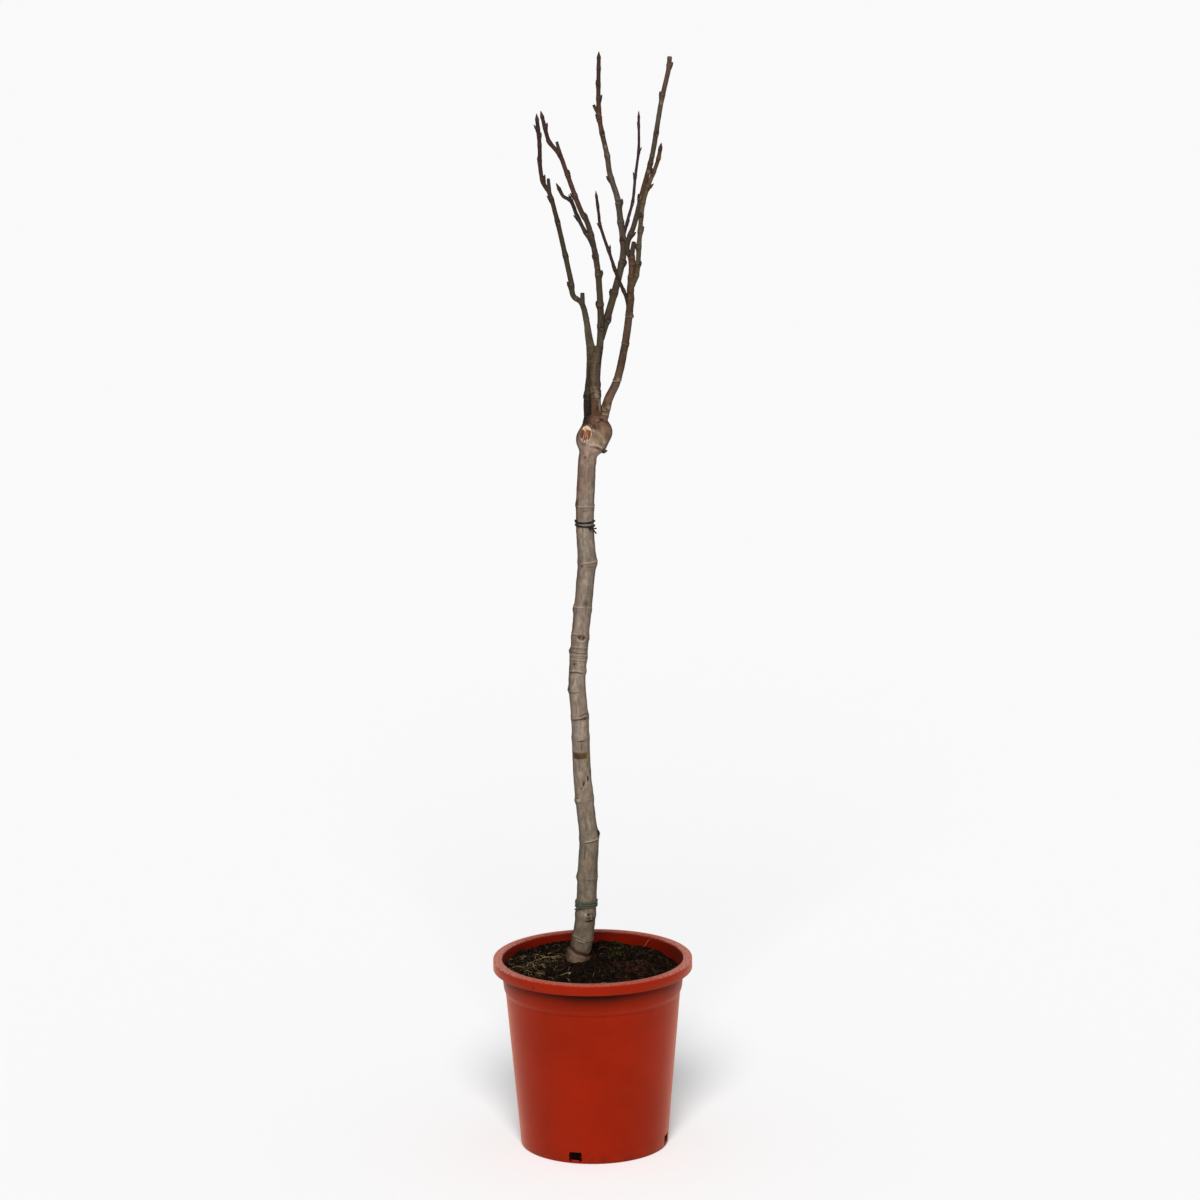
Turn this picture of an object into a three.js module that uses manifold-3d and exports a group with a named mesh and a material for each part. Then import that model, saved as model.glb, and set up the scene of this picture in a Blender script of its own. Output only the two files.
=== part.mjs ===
// A young fig standard in its winter-bare state, in a round plastic pot filled with soil.
// Millimetres, +Z up. The origin is the centre of the pot's flat underside, and -Y is the front.

import * as THREE from 'three';
import { mergeVertices } from 'three/addons/utils/BufferGeometryUtils.js';
import Module from 'manifold-3d';

const wasm = await Module();
wasm.setup();

// Clearance kept between pieces that touch
const gap = 0.3;

// Pot: straight tapered side, a stepped shoulder and a broad turned-down lip
const potFacets = 48;
const potWall = 2;
const potFloor = 2.5;
const potBaseRadius = 78;
const potInnerFoot = 76.2;
const potShoulder = { radius: 91.9, height: 163.5 };
const potCollar = { radius: 93.8, height: 170.5 };
const potNeck = { radius: 97.2, height: 199.2 };
const potFootChamfer = 0.8;
const lipRadius = 105;
const lipBottom = 191.5;
const lipTop = 202;
const lipCrown = 203;
const lipInset = 1.2;
const mouthRadius = 95.6;

// Drainage windows in the foot of the side, in degrees round from the front
const drainTurns = [-15, 75, 165, 255];
const drainWidth = 13.1;
const drainDepth = 10;
const drainBottom = 3.4;
const drainTop = 12.6;

// Soil: mounded at the stem, sunken on the right, with a slight wave over all of it
const soilRings = [84, 72, 60, 48, 36, 24, 12];
const soilBase = 189.4;
const soilTilt = { x: -0.03, y: 0.04 };
const soilDip = { x: 58, y: -14, depth: 3, spread: 34 };
const soilWave = { height: 0.6, x: 0.21, y: 0.17, shiftX: 1.3, shiftY: 0.4 };
const soilLevel = 193.4;
const flatRadius = 30;
const flatBlend = 14;

// Stem: centreline points from below the soil up into the head, one at each sway
const stemLine = [
  [-16, 16, 186],
  [-16, 16, 196],
  [-12, 15.5, 212],
  [-7.5, 14, 240],
  [-4, 9, 300],
  [-2.5, 7, 330],
  [-5.5, 4, 360],
  [-9, 0, 405],
  [-10.5, -4, 462],
  [-13, -4, 500],
  [-10.5, -2, 535],
  [-4, 2, 600],
  [-1.5, 2, 628],
  [-3, 1, 662],
  [-1.5, 0, 712],
  [1, 0, 740],
  [5, 0, 756],
];
// Stem radius at each height, with the root flare at the foot
const stemRadii = [
  [186, 14],
  [194, 13.6],
  [200, 12.3],
  [208, 11.6],
  [230, 10.8],
  [300, 10.5],
  [345, 9.8],
  [500, 8.9],
  [620, 9.4],
  [760, 9.5],
];
const stemNodes = [221, 246, 288, 335, 368, 420, 438, 464, 484, 504, 528, 545, 576, 628, 687, 724];
const nodeSwell = 0.8;
const nodeSpread = 3.4;
const rootLobes = { count: 3, turn: 1, depth: 0.1, fade: 10 };

// Head: the swollen burl that the boughs leave from, its neck, a pruning wound and a dormant bud
const burl = [
  { centre: [5.5, 0, 756], radii: [16.8, 15, 17] },
  { centre: [14, -1, 764], radii: [12.4, 12, 13.5] },
];
const neck = { from: [7.5, 0, 762], to: [9.5, -0.5, 783], radii: [14.5, 11.6] };
const wound = { from: [4, -3, 757], to: [-1.5, -14.8, 766], radii: [8.4, 6.6] };
const headBud = { foot: [18, -4.5, 748], direction: [0.9, -0.3, 0.25], length: 4.5, radius: 1.9 };

// Leading shoots, from inside the head to the tip, one point at each bend or node.
// Each is a bough as far as its split height, and a twig from there on.
const leaders = {
  left: {
    line: [[6, 4, 760], [1.8, 4.5, 780], [1.2, 5, 799], [3.8, 3, 826], [3.2, 1, 857],
      [-3.9, -3, 898], [-12, -2, 905], [-14.8, 1, 921], [-29.4, 12, 987], [-36, 16, 1009.5],
      [-41.3, 17.5, 1018], [-44.6, 19, 1034], [-45, 21, 1057], [-47, 19, 1081]],
    split: 893,
    boughRadii: [4.2, 3],
    twigRadii: [2.9, 1.9],
    nodePitch: [38, 8],
    seed: 8022,
  },
  middle: {
    line: [[9, -2, 760], [10, -4, 782], [9.5, -5, 801], [10.5, -5, 827], [15, -4, 862], [15, -9, 900],
      [11.5, -17, 944], [3, -27, 983], [-3.5, -30, 996], [-17.5, -40, 1036], [-24, -44, 1054],
      [-34.5, -48, 1068], [-37.6, -50, 1078], [-40.6, -51, 1091]],
    split: 853,
    boughRadii: [4.7, 3.8],
    twigRadii: [3.6, 1.9],
    nodePitch: [30, 16],
    seed: 2156,
  },
  right: {
    line: [[13, -1, 765], [19, -2.5, 783], [23.3, -5, 799], [31, -8, 817], [40, -13, 857],
      [45.2, -16, 895], [46.2, -16, 915], [48, -15, 935], [47.2, -13.5, 949]],
    split: 890,
    boughRadii: [4.3, 3.6],
    twigRadii: [3.8, 3.6],
    nodePitch: [18, 21],
    seed: 4095,
    cut: true,
  },
};

// Side shoots of each mass, every one rooted inside the shoot that carries it
const sideShoots = {
  left: [],
  middle: [
    {
      line: [[15, -4, 861], [24.5, 7, 889], [36, 16, 929], [39.5, 19.5, 949], [36.2, 21, 984],
        [33.8, 21.5, 1002], [26.3, 24, 1027], [23.9, 25, 1044], [16.4, 27.5, 1082], [15.5, 29, 1104],
        [16.2, 32, 1142]],
      radii: [4, 2],
      nodePitch: [30, 15],
      seed: 3170,
    },
    {
      line: [[39.5, 21, 962], [44.5, 28, 980], [49.5, 35, 997], [52.5, 43, 1022], [56.2, 50, 1049],
        [56.6, 56.5, 1079]],
      radii: [1.7, 1.25],
      nodePitch: [22, 22],
      seed: 8541,
    },
    {
      line: [[8, -22, 959], [5, -23.5, 966], [0, -22, 974.5], [-7.5, -18, 989.5],
        [-13.8, -13, 1004], [-21.5, -9.5, 1008.6], [-24.5, -8, 1014]],
      radii: [2.2, 1.8],
      nodePitch: [22, 13],
      seed: 7822,
    },
  ],
  right: [
    {
      line: [[47.2, -14, 944], [43, -11.5, 954], [44.6, -11, 964], [49.5, -10, 976], [60.5, -4, 1016],
        [69, 0, 1046], [79.2, 6, 1102], [86.9, 10, 1135], [88, 10, 1147]],
      radii: [2.7, 2.4],
      nodePitch: [38, 27],
      seed: 8625,
      cut: true,
    },
    {
      line: [[48, -16, 917], [52.5, -21, 930], [55.4, -31, 966], [59, -41, 1003], [63.5, -45, 1019],
        [74.6, -52, 1049], [76.4, -53, 1058]],
      radii: [2.7, 2],
      nodePitch: [18, 12],
      seed: 4755,
    },
    {
      line: [[44, -16, 894], [41.2, -19, 907], [34, -27, 925], [26, -35, 950], [15.6, -46, 984],
        [14.6, -50, 994], [12.7, -53, 1010.5]],
      radii: [2, 1.4],
      nodePitch: [30, 19],
      seed: 374,
    },
  ],
};

// Short stubs left by pruning, each at the node where a shoot turned aside
const prunedStubs = {
  left: [
    { from: [-3, -3, 896], to: [-3, -4.5, 908.5], radii: [2.6, 2.2] },
    { from: [-35.4, 15.5, 1007], to: [-36.5, 10.5, 1024], radii: [2.2, 1.7] },
  ],
  middle: [
    { from: [-22.5, -43, 1050], to: [-27, -38.5, 1067], radii: [2.3, 1.5] },
    { from: [15.4, 28, 1087], to: [10.4, 25, 1097], radii: [2.1, 1.5] },
  ],
  right: [
    { from: [47, -14, 945], to: [50, -16.5, 962], radii: [2.9, 2.2] },
  ],
};

// Nodes and buds along a shoot: the first node as a share of the pitch, the length kept clear of
// nodes below the tip, and how far out in the twig a bud's foot sits
const firstNode = 0.7;
const tipClear = 7;
const budSeat = 0.72;
const pitchJitter = 0.25;
const budTurn = THREE.MathUtils.degToRad(137.5);
const twigSwell = 0.16;
const twigSwellSpread = 2.6;
const budLength = [4.5, 6.5];
const budWidth = 0.72;
const budLean = 2.2;
const budOutline = [[0, -0.3], [1, 0.1], [0, 1]];
const tipBudLength = 9;
const tipBudWidth = 1.15;

// Wire ties that hug the stem: the height of each turn, the wire's radius and its twisted ends
const ties = {
  upper_tie: {
    turns: [666, 669.6],
    wire: 0.75,
    ends: [[[1.5, -8.8, 665.4], [1.5, -8.8, 670.2]], [[1.5, -8.8, 666], [7.5, -10.4, 662]]],
  },
  lower_tie: {
    turns: [255.9, 257.8, 259.7],
    wire: 1.1,
    ends: [[[-17, 6.4, 257.5], [-20, 5, 254]]],
  },
};
const tieClearance = 0.45;
const twistSwell = 1.25;

// Sides round each kind of limb, and the longest step between its rings
const stemSides = 14;
const burlSides = 18;
const burlRings = 12;
const boughSides = 12;
const twigSides = 7;
const budSides = 5;
const wireSides = 5;
const wireSteps = 16;
const stemStep = 14;
const boughStep = 11;
const twigStep = 16;
const shortestStep = 0.5;
const curveSamples = 400;
const tolerance = 0.01;

// A repeatable run of random numbers from 0 to 1: state = state * multiplier + increment
const randomMultiplier = 1664525;
const randomIncrement = 1013904223;
const randomRange = 2 ** 32;

function randomFrom(seed) {
  let state = seed;
  return () => {
    state = (Math.imul(state, randomMultiplier) + randomIncrement) >>> 0;
    return state / randomRange;
  };
}

// Straight-line reading of a table of [place, value] rows
function readTable(rows, place) {
  const last = rows[rows.length - 1];
  if (place >= last[0]) {
    return last[1];
  }
  const above = Math.max(1, rows.findIndex((row) => row[0] > place));
  const [lowPlace, lowValue] = rows[above - 1];
  const [highPlace, highValue] = rows[above];
  const share = Math.max(0, (place - lowPlace) / (highPlace - lowPlace));
  return lowValue + share * (highValue - lowValue);
}

function weld(geometry) {
  geometry.deleteAttribute('normal');
  geometry.deleteAttribute('uv');
  return mergeVertices(geometry);
}

// The solid of a closed geometry, without the flat triangles that a pole leaves
function solidOf(geometry) {
  const welded = weld(geometry);
  const corners = welded.index.array;
  const kept = [];
  for (let i = 0; i < corners.length; i += 3) {
    const [a, b, c] = corners.slice(i, i + 3);
    if (a !== b && b !== c && c !== a) {
      kept.push(a, b, c);
    }
  }
  return new wasm.Manifold(new wasm.Mesh({
    numProp: 3,
    vertProperties: Float32Array.from(welded.attributes.position.array),
    triVerts: Uint32Array.from(kept),
  }));
}

function joined(solids) {
  return solids.reduce((sum, solid) => sum.add(solid));
}

function curveThrough(points) {
  const places = points.map((point) => new THREE.Vector3(...point));
  return new THREE.CatmullRomCurve3(places, false, 'centripetal');
}

// The arc length at which a rising curve passes a height
function lengthAtHeight(curve, height) {
  const total = curve.getLength();
  for (let i = 0; i <= curveSamples; i += 1) {
    if (curve.getPointAt(i / curveSamples).z >= height) {
      return (total * i) / curveSamples;
    }
  }
  return total;
}

// Ring places from one arc length to another, with three rings at every node
function ringPlaces(from, to, step, nodes, spread) {
  const marks = [from, to];
  nodes.forEach((node) => marks.push(node - spread, node, node + spread));
  const sorted = marks.filter((mark) => mark >= from && mark <= to).sort((a, b) => a - b);
  const places = [from];
  sorted.forEach((mark) => {
    const start = places[places.length - 1];
    const span = mark - start;
    if (span < shortestStep) {
      return;
    }
    const parts = Math.ceil(span / step);
    for (let i = 1; i <= parts; i += 1) {
      places.push(start + (span * i) / parts);
    }
  });
  return places;
}

// The direction of a curve at a share of its length, with the two directions across it
function frameAt(curve, share) {
  const along = curve.getTangentAt(share);
  const side = new THREE.Vector3(1, 0, 0).addScaledVector(along, -along.x).normalize();
  return { along, side, front: side.clone().cross(along) };
}

// A closed cylinder bent along a curve, ring by ring, with its radius given at each place and angle
function bentLimb(curve, places, sides, radiusAt) {
  const total = curve.getLength();
  const rings = places.length - 1;
  const limb = weld(new THREE.CylinderGeometry(1, 1, 1, sides, rings));
  const position = limb.attributes.position;
  for (let i = 0; i < position.count; i += 1) {
    const place = places[Math.round((position.getY(i) + 0.5) * rings)];
    const share = Math.min(1, place / total);
    const centre = curve.getPointAt(share);
    const { side, front } = frameAt(curve, share);
    const x = position.getX(i);
    const z = position.getZ(i);
    const radius = radiusAt(place, Math.atan2(z, x), centre);
    centre.addScaledVector(side, x * radius).addScaledVector(front, z * radius);
    position.setXYZ(i, centre.x, centre.y, centre.z);
  }
  return solidOf(limb);
}

// A straight tapering peg with flat ends, run on past its end by an optional length
function peg({ from, to, radii, over = 0 }, sides) {
  const start = new THREE.Vector3(...from);
  const end = new THREE.Vector3(...to);
  end.addScaledVector(end.clone().sub(start).normalize(), over);
  const curve = new THREE.LineCurve3(start, end);
  const total = curve.getLength();
  const radiusAt = (place) => THREE.MathUtils.lerp(radii[0], radii[1], place / total);
  return bentLimb(curve, [0, total], sides, radiusAt);
}

// A pointed bud with its foot sunk in the twig
function bud(foot, direction, length, radius) {
  const outline = budOutline.map(([r, h]) => new THREE.Vector2(r * radius, h * length));
  const shape = new THREE.LatheGeometry(outline, budSides);
  const turn = new THREE.Quaternion().setFromUnitVectors(new THREE.Vector3(0, 1, 0), direction);
  shape.applyQuaternion(turn);
  shape.translate(foot.x, foot.y, foot.z);
  return solidOf(shape);
}

// A twig with a swelling and a side bud at every node, and a pointed bud or a flat cut at its tip
function twigSolids({ curve, from, radii, nodePitch, seed, cut }) {
  const random = randomFrom(seed);
  const total = curve.getLength();
  const nodes = [];
  let node = from + nodePitch[0] * firstNode;
  while (node < total - tipClear) {
    nodes.push(node);
    const pitch = THREE.MathUtils.lerp(nodePitch[0], nodePitch[1], (node - from) / (total - from));
    node += pitch * (1 + pitchJitter * (2 * random() - 1));
  }
  const radiusAt = (place) => {
    const share = (place - from) / (total - from);
    const near = nodes.map((at) => Math.exp(-(((place - at) / twigSwellSpread) ** 2)));
    const swell = near.reduce((sum, value) => sum + value, 0);
    return THREE.MathUtils.lerp(radii[0], radii[1], share) * (1 + twigSwell * swell);
  };
  const places = ringPlaces(from, total, twigStep, nodes, twigSwellSpread);
  const solids = [bentLimb(curve, places, twigSides, radiusAt)];
  let turn = random() * 2 * Math.PI;
  nodes.forEach((at) => {
    const { side, front, along } = frameAt(curve, at / total);
    const outward = side.multiplyScalar(Math.cos(turn)).addScaledVector(front, Math.sin(turn));
    const radius = radiusAt(at);
    const foot = curve.getPointAt(at / total).addScaledVector(outward, radius * budSeat);
    const direction = outward.addScaledVector(along, budLean).normalize();
    const length = THREE.MathUtils.lerp(budLength[0], budLength[1], random());
    solids.push(bud(foot, direction, length, radius * budWidth));
    turn += budTurn;
  });
  if (!cut) {
    const tip = curve.getPointAt(1);
    solids.push(bud(tip, curve.getTangentAt(1), tipBudLength, radii[1] * tipBudWidth));
  }
  return solids;
}

function lathed(rows) {
  const outline = rows.map(([radius, height]) => new THREE.Vector2(radius, height));
  return new THREE.LatheGeometry(outline, potFacets).rotateX(Math.PI / 2);
}

// The pot's inner wall, from the floor up to the mouth
const innerWall = [
  [potFloor, potInnerFoot],
  [potShoulder.height, potShoulder.radius - potWall],
  [potCollar.height, potCollar.radius - potWall],
  [lipTop, mouthRadius],
];

function makePot() {
  const outer = [
    [potBaseRadius - potFootChamfer, 0],
    [potBaseRadius, potFootChamfer],
    [potShoulder.radius, potShoulder.height],
    [potCollar.radius, potCollar.height],
    [potNeck.radius, potNeck.height],
  ];
  const lip = [
    [lipRadius - potWall, potNeck.height],
    [lipRadius - potWall, lipBottom],
    [lipRadius, lipBottom],
    [lipRadius, lipTop - lipInset],
    [lipRadius - lipInset, lipTop],
    [(lipRadius + mouthRadius) / 2, lipCrown],
    [mouthRadius + lipInset / 2, lipTop + lipInset / 2],
  ];
  const inner = innerWall.map(([height, radius]) => [radius, height]).reverse();
  let shell = solidOf(lathed([[0, 0], ...outer, ...lip, ...inner, [0, potFloor]]));
  drainTurns.forEach((degrees) => {
    const turn = THREE.MathUtils.degToRad(degrees);
    const height = drainTop - drainBottom;
    const window = new THREE.BoxGeometry(drainWidth, drainDepth, height);
    window.translate(0, -potBaseRadius, drainBottom + height / 2);
    window.rotateZ(turn);
    shell = shell.subtract(solidOf(window));
  });
  return shell;
}

// The soil's height at a place: level round the stem, tilted, dipped and waved further out
function soilHeight(x, y) {
  const fromDip = Math.hypot(x - soilDip.x, y - soilDip.y) / soilDip.spread;
  const dip = soilDip.depth * Math.exp(-(fromDip ** 2));
  const { height, shiftX, shiftY } = soilWave;
  const wave = height * Math.sin(x * soilWave.x + shiftX) * Math.sin(y * soilWave.y + shiftY);
  const open = soilBase + soilTilt.x * x + soilTilt.y * y - dip + wave;
  const [stemX, stemY] = stemLine[1];
  const away = Math.hypot(x - stemX, y - stemY);
  const share = THREE.MathUtils.smoothstep(away, flatRadius, flatRadius + flatBlend);
  return THREE.MathUtils.lerp(soilLevel, open, share);
}

function makeSoil() {
  const wallRows = innerWall.slice(1, 3).map(([height, radius]) => [radius - gap, height]);
  const edge = [readTable(innerWall, soilBase) - gap, soilBase];
  const rows = [
    [0, potFloor + gap],
    [innerWall[0][1] - gap, potFloor + gap],
    ...wallRows,
    edge,
    ...soilRings.map((radius) => [radius, soilBase]),
    [0, soilBase],
  ];
  const soil = weld(lathed(rows));
  const position = soil.attributes.position;
  for (let i = 0; i < position.count; i += 1) {
    const x = position.getX(i);
    const y = position.getY(i);
    if (position.getZ(i) > soilBase - tolerance) {
      const height = soilHeight(x, y);
      const radius = Math.hypot(x, y);
      const onEdge = radius > soilRings[0] + tolerance;
      const scale = onEdge ? (readTable(innerWall, height) - gap) / radius : 1;
      position.setXYZ(i, x * scale, y * scale, height);
    }
  }
  return solidOf(soil);
}

// The burl and the neck above it, grown by a clearance where boughs are to be seated on them
function makeHead(grow) {
  const lumps = burl.map(({ centre, radii }) => {
    const lump = new THREE.SphereGeometry(1, burlSides, burlRings).rotateX(Math.PI / 2);
    lump.scale(...radii.map((radius) => radius + grow));
    return solidOf(lump.translate(...centre));
  });
  const radii = neck.radii.map((radius) => radius + grow);
  return joined([...lumps, peg({ ...neck, radii, over: grow }, stemSides)]);
}

// The stem with its root flare, head, wound and dormant bud, cut flat where it meets the soil
function makeTrunk() {
  const curve = curveThrough(stemLine);
  const nodes = stemNodes.map((height) => lengthAtHeight(curve, height));
  const radiusAt = (place, angle, centre) => {
    const near = stemNodes.map((height) => Math.exp(-(((centre.z - height) / nodeSpread) ** 2)));
    const swell = near.reduce((sum, value) => sum + value, 0);
    const lobe = rootLobes.depth * Math.cos(rootLobes.count * angle + rootLobes.turn);
    const nearRoot = Math.exp(-Math.max(0, centre.z - soilLevel) / rootLobes.fade);
    return (readTable(stemRadii, centre.z) + nodeSwell * swell) * (1 + lobe * nearRoot);
  };
  const places = ringPlaces(0, curve.getLength(), stemStep, nodes, nodeSpread);
  const stem = bentLimb(curve, places, stemSides, radiusAt);
  const { foot, direction, length, radius } = headBud;
  const pointing = new THREE.Vector3(...direction).normalize();
  const dormant = bud(new THREE.Vector3(...foot), pointing, length, radius);
  const trunk = joined([stem, makeHead(0), peg(wound, boughSides), dormant]);
  const [footX, footY, footZ] = stemLine[0];
  const width = 2 * flatRadius;
  const depth = 2 * (soilLevel + gap - footZ);
  const below = new THREE.BoxGeometry(width, width, depth).translate(footX, footY, footZ);
  return trunk.subtract(solidOf(below));
}

// One tapering bough, from the head to its split, seated on the head
function makeBough(name) {
  const { line, split, boughRadii } = leaders[name];
  const curve = curveThrough(line);
  const end = lengthAtHeight(curve, split);
  const places = ringPlaces(0, end, boughStep, [], 0);
  const radiusAt = (place) => THREE.MathUtils.lerp(boughRadii[0], boughRadii[1], place / end);
  return bentLimb(curve, places, boughSides, radiusAt).subtract(makeHead(gap));
}

// The twigs that go on from a bough's tip, with their side shoots and pruned stubs
function makeTwigs(name) {
  const leader = leaders[name];
  const curve = curveThrough(leader.line);
  const from = lengthAtHeight(curve, leader.split) + gap;
  const stem = twigSolids({ ...leader, curve, from, radii: leader.twigRadii });
  const shoots = sideShoots[name].map((shoot) => {
    return twigSolids({ ...shoot, curve: curveThrough(shoot.line), from: 0 });
  });
  const stubs = prunedStubs[name].map((stub) => peg(stub, twigSides));
  return joined([...stem, ...shoots.flat(), ...stubs]);
}

// Turns of wire round the stem, joined by the twisted ends
function makeTie({ turns, wire, ends }) {
  const curve = curveThrough(stemLine);
  const total = curve.getLength();
  const rings = turns.map((height) => {
    const centre = curve.getPointAt(lengthAtHeight(curve, height) / total);
    const radius = readTable(stemRadii, height) + tieClearance + wire;
    const ring = new THREE.TorusGeometry(radius, wire, wireSides, wireSteps);
    return solidOf(ring.translate(centre.x, centre.y, height));
  });
  const radii = [wire * twistSwell, wire];
  const twisted = ends.map(([from, to]) => peg({ from, to, radii }, wireSides));
  return joined([...rings, ...twisted]);
}

function bark(color) {
  return new THREE.MeshStandardMaterial({ color, roughness: 0.8, metalness: 0 });
}

const finishes = {
  redPlastic: new THREE.MeshStandardMaterial({ color: '#97240d', roughness: 0.45, metalness: 0 }),
  darkSoil: new THREE.MeshStandardMaterial({ color: '#1b120c', roughness: 0.95, metalness: 0 }),
  stemBark: bark('#94877a'),
  oliveBark: bark('#52473a'),
  brownBark: bark('#554132'),
  twigBark: bark('#40372c'),
  blackWire: new THREE.MeshStandardMaterial({ color: '#1a1a1a', roughness: 0.4, metalness: 0 }),
  greenWire: new THREE.MeshStandardMaterial({ color: '#2c4a2a', roughness: 0.5, metalness: 0 }),
};

const pieces = [
  ['pot', makePot(), finishes.redPlastic],
  ['soil', makeSoil(), finishes.darkSoil],
  ['trunk', makeTrunk(), finishes.stemBark],
  ['left_bough', makeBough('left'), finishes.oliveBark],
  ['middle_bough', makeBough('middle'), finishes.oliveBark],
  ['right_bough', makeBough('right'), finishes.brownBark],
  ['left_twigs', makeTwigs('left'), finishes.twigBark],
  ['inner_twigs', makeTwigs('middle'), finishes.twigBark],
  ['right_twigs', makeTwigs('right'), finishes.twigBark],
  ['upper_tie', makeTie(ties.upper_tie), finishes.blackWire],
  ['lower_tie', makeTie(ties.lower_tie), finishes.greenWire],
];

const pottedFig = new THREE.Group();
pieces.forEach(([name, solid, material]) => {
  const { vertProperties, triVerts } = solid.getMesh();
  const geometry = new THREE.BufferGeometry();
  geometry.setAttribute('position', new THREE.BufferAttribute(vertProperties, 3));
  geometry.setIndex(new THREE.BufferAttribute(triVerts, 1));
  geometry.computeVertexNormals();
  const piece = new THREE.Mesh(geometry, material);
  piece.name = name;
  pottedFig.add(piece);
});

export default pottedFig;
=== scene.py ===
import math

import bpy
import numpy as np
from mathutils import Matrix, Vector


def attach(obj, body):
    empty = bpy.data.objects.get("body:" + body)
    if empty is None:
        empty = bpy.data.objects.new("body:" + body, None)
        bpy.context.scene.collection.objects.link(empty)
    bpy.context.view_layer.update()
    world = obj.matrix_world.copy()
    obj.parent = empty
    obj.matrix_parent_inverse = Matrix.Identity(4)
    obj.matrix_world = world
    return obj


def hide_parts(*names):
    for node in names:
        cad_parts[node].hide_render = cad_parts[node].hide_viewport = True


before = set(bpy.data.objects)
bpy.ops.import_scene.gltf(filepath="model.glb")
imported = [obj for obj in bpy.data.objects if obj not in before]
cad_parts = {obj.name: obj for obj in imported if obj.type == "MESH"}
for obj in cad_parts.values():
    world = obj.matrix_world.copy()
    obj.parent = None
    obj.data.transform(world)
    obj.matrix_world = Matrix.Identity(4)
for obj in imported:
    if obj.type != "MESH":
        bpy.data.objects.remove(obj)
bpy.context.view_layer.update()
print("frame loaded:", len(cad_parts), "nodes")

mm = 0.001  # lengths below are in millimetres and are turned into metres as a mesh is made
scene = bpy.context.scene
scene.view_settings.view_transform = "Standard"


# Adding and finishing objects

def clearSelection():
    if bpy.context.object and bpy.context.object.mode == "EDIT":
        bpy.ops.object.mode_set(mode="OBJECT")
    bpy.ops.object.select_all(action="DESELECT")


def addObject(name, operator, **settings):
    clearSelection()
    operator(**settings)
    bpy.context.object.name = name
    return bpy.context.object


def applyModifiers(piece):
    clearSelection()
    piece.select_set(True)
    bpy.context.view_layer.objects.active = piece
    for modifier in list(piece.modifiers):
        bpy.ops.object.modifier_apply(modifier=modifier.name)


def finishPiece(piece, slot, *nodes):
    # pieces with no node of their own are fine litter on the soil
    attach(piece, "root")
    if nodes:
        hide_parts(*nodes)
    print(piece.name + ":", len(piece.data.polygons), "faces")


# Shader helpers

def rgb(*values):
    # a colour given as 0 to 255, as a shader wants it
    linear = []
    for share in (value / 255 for value in values):
        linear.append(share / 12.92 if share <= 0.04045 else ((share + 0.055) / 1.055) ** 2.4)
    return (*linear, 1)


class Wiring:
    # adds nodes to one tree: a socket given as an input is linked, and any other value is set
    def __init__(self, tree, material=None):
        self.tree, self.material = tree, material

    def join(self, value, socket):
        if isinstance(value, bpy.types.NodeSocket):
            self.tree.links.new(value, socket)
        else:
            socket.default_value = value

    def add(self, kind, inputs=None, **settings):
        node = self.tree.nodes.new("ShaderNode" + kind)
        for key, value in settings.items():
            setattr(node, key, value)
        for key, value in (inputs or {}).items():
            self.join(value, node.inputs[key])
        return node.outputs

    def mix(self, share, first, second, way="MIX"):
        return self.add("Mix", {0: share, 6: first, 7: second}, data_type="RGBA", blend_type=way)[2]

    def shade(self, colour, tone):
        grey = self.add("CombineColor", {0: tone, 1: tone, 2: tone})[0]
        return self.mix(1.0, colour, grey, "MULTIPLY")

    def plus(self, first, second):
        return self.add("Math", {0: first, 1: second}, operation="ADD")[0]

    def times(self, first, second, clamp=False):
        return self.add("Math", {0: first, 1: second}, operation="MULTIPLY", use_clamp=clamp)[0]

    def vectors(self, operation, *given):
        return self.add("VectorMath", dict(enumerate(given)), operation=operation)

    def spread(self, value, low, high, outLow=0.0, outHigh=1.0):
        return self.add("MapRange", {0: value, 1: low, 2: high, 3: outLow, 4: outHigh})[0]

    def noise(self, vector, scale, detail, roughness, stretch=(1, 1, 1)):
        moved = self.add("Mapping", {"Vector": vector, "Scale": stretch})[0]
        inputs = {"Vector": moved, "Scale": scale, "Detail": detail, "Roughness": roughness}
        return self.add("TexNoise", inputs)[0]

    def own(self, name, output="Color"):
        # an attribute that the piece carries
        return self.add("Attribute", attribute_name=name)[output]

    def place(self):
        return self.add("TexCoord")["Object"]

    def finish(self, colour, roughness, height, strength, distance):
        shader = self.tree.nodes["Principled BSDF"].inputs
        self.join(colour, shader["Base Color"])
        self.join(roughness, shader["Roughness"])
        relief = {"Height": height, "Strength": strength, "Distance": distance}
        self.join(self.add("Bump", relief)[0], shader["Normal"])
        return self.material


def newMaterial(name, **constants):
    material = bpy.data.materials.new(name)
    material.use_nodes = True
    shader = material.node_tree.nodes["Principled BSDF"]
    for key, value in constants.items():
        shader.inputs[key.replace("_", " ")].default_value = value
    return Wiring(material.node_tree, material)


def newGroup(name, inputs, outputs):
    group = bpy.data.node_groups.new(name, "ShaderNodeTree")
    for direction, sockets in (("INPUT", inputs), ("OUTPUT", outputs)):
        for label, kind in sockets.items():
            group.interface.new_socket(name=label, in_out=direction, socket_type="NodeSocket" + kind)
    given, out = (group.nodes.new("NodeGroup" + end) for end in ("Input", "Output"))
    return Wiring(group), given.outputs, out.inputs


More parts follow.
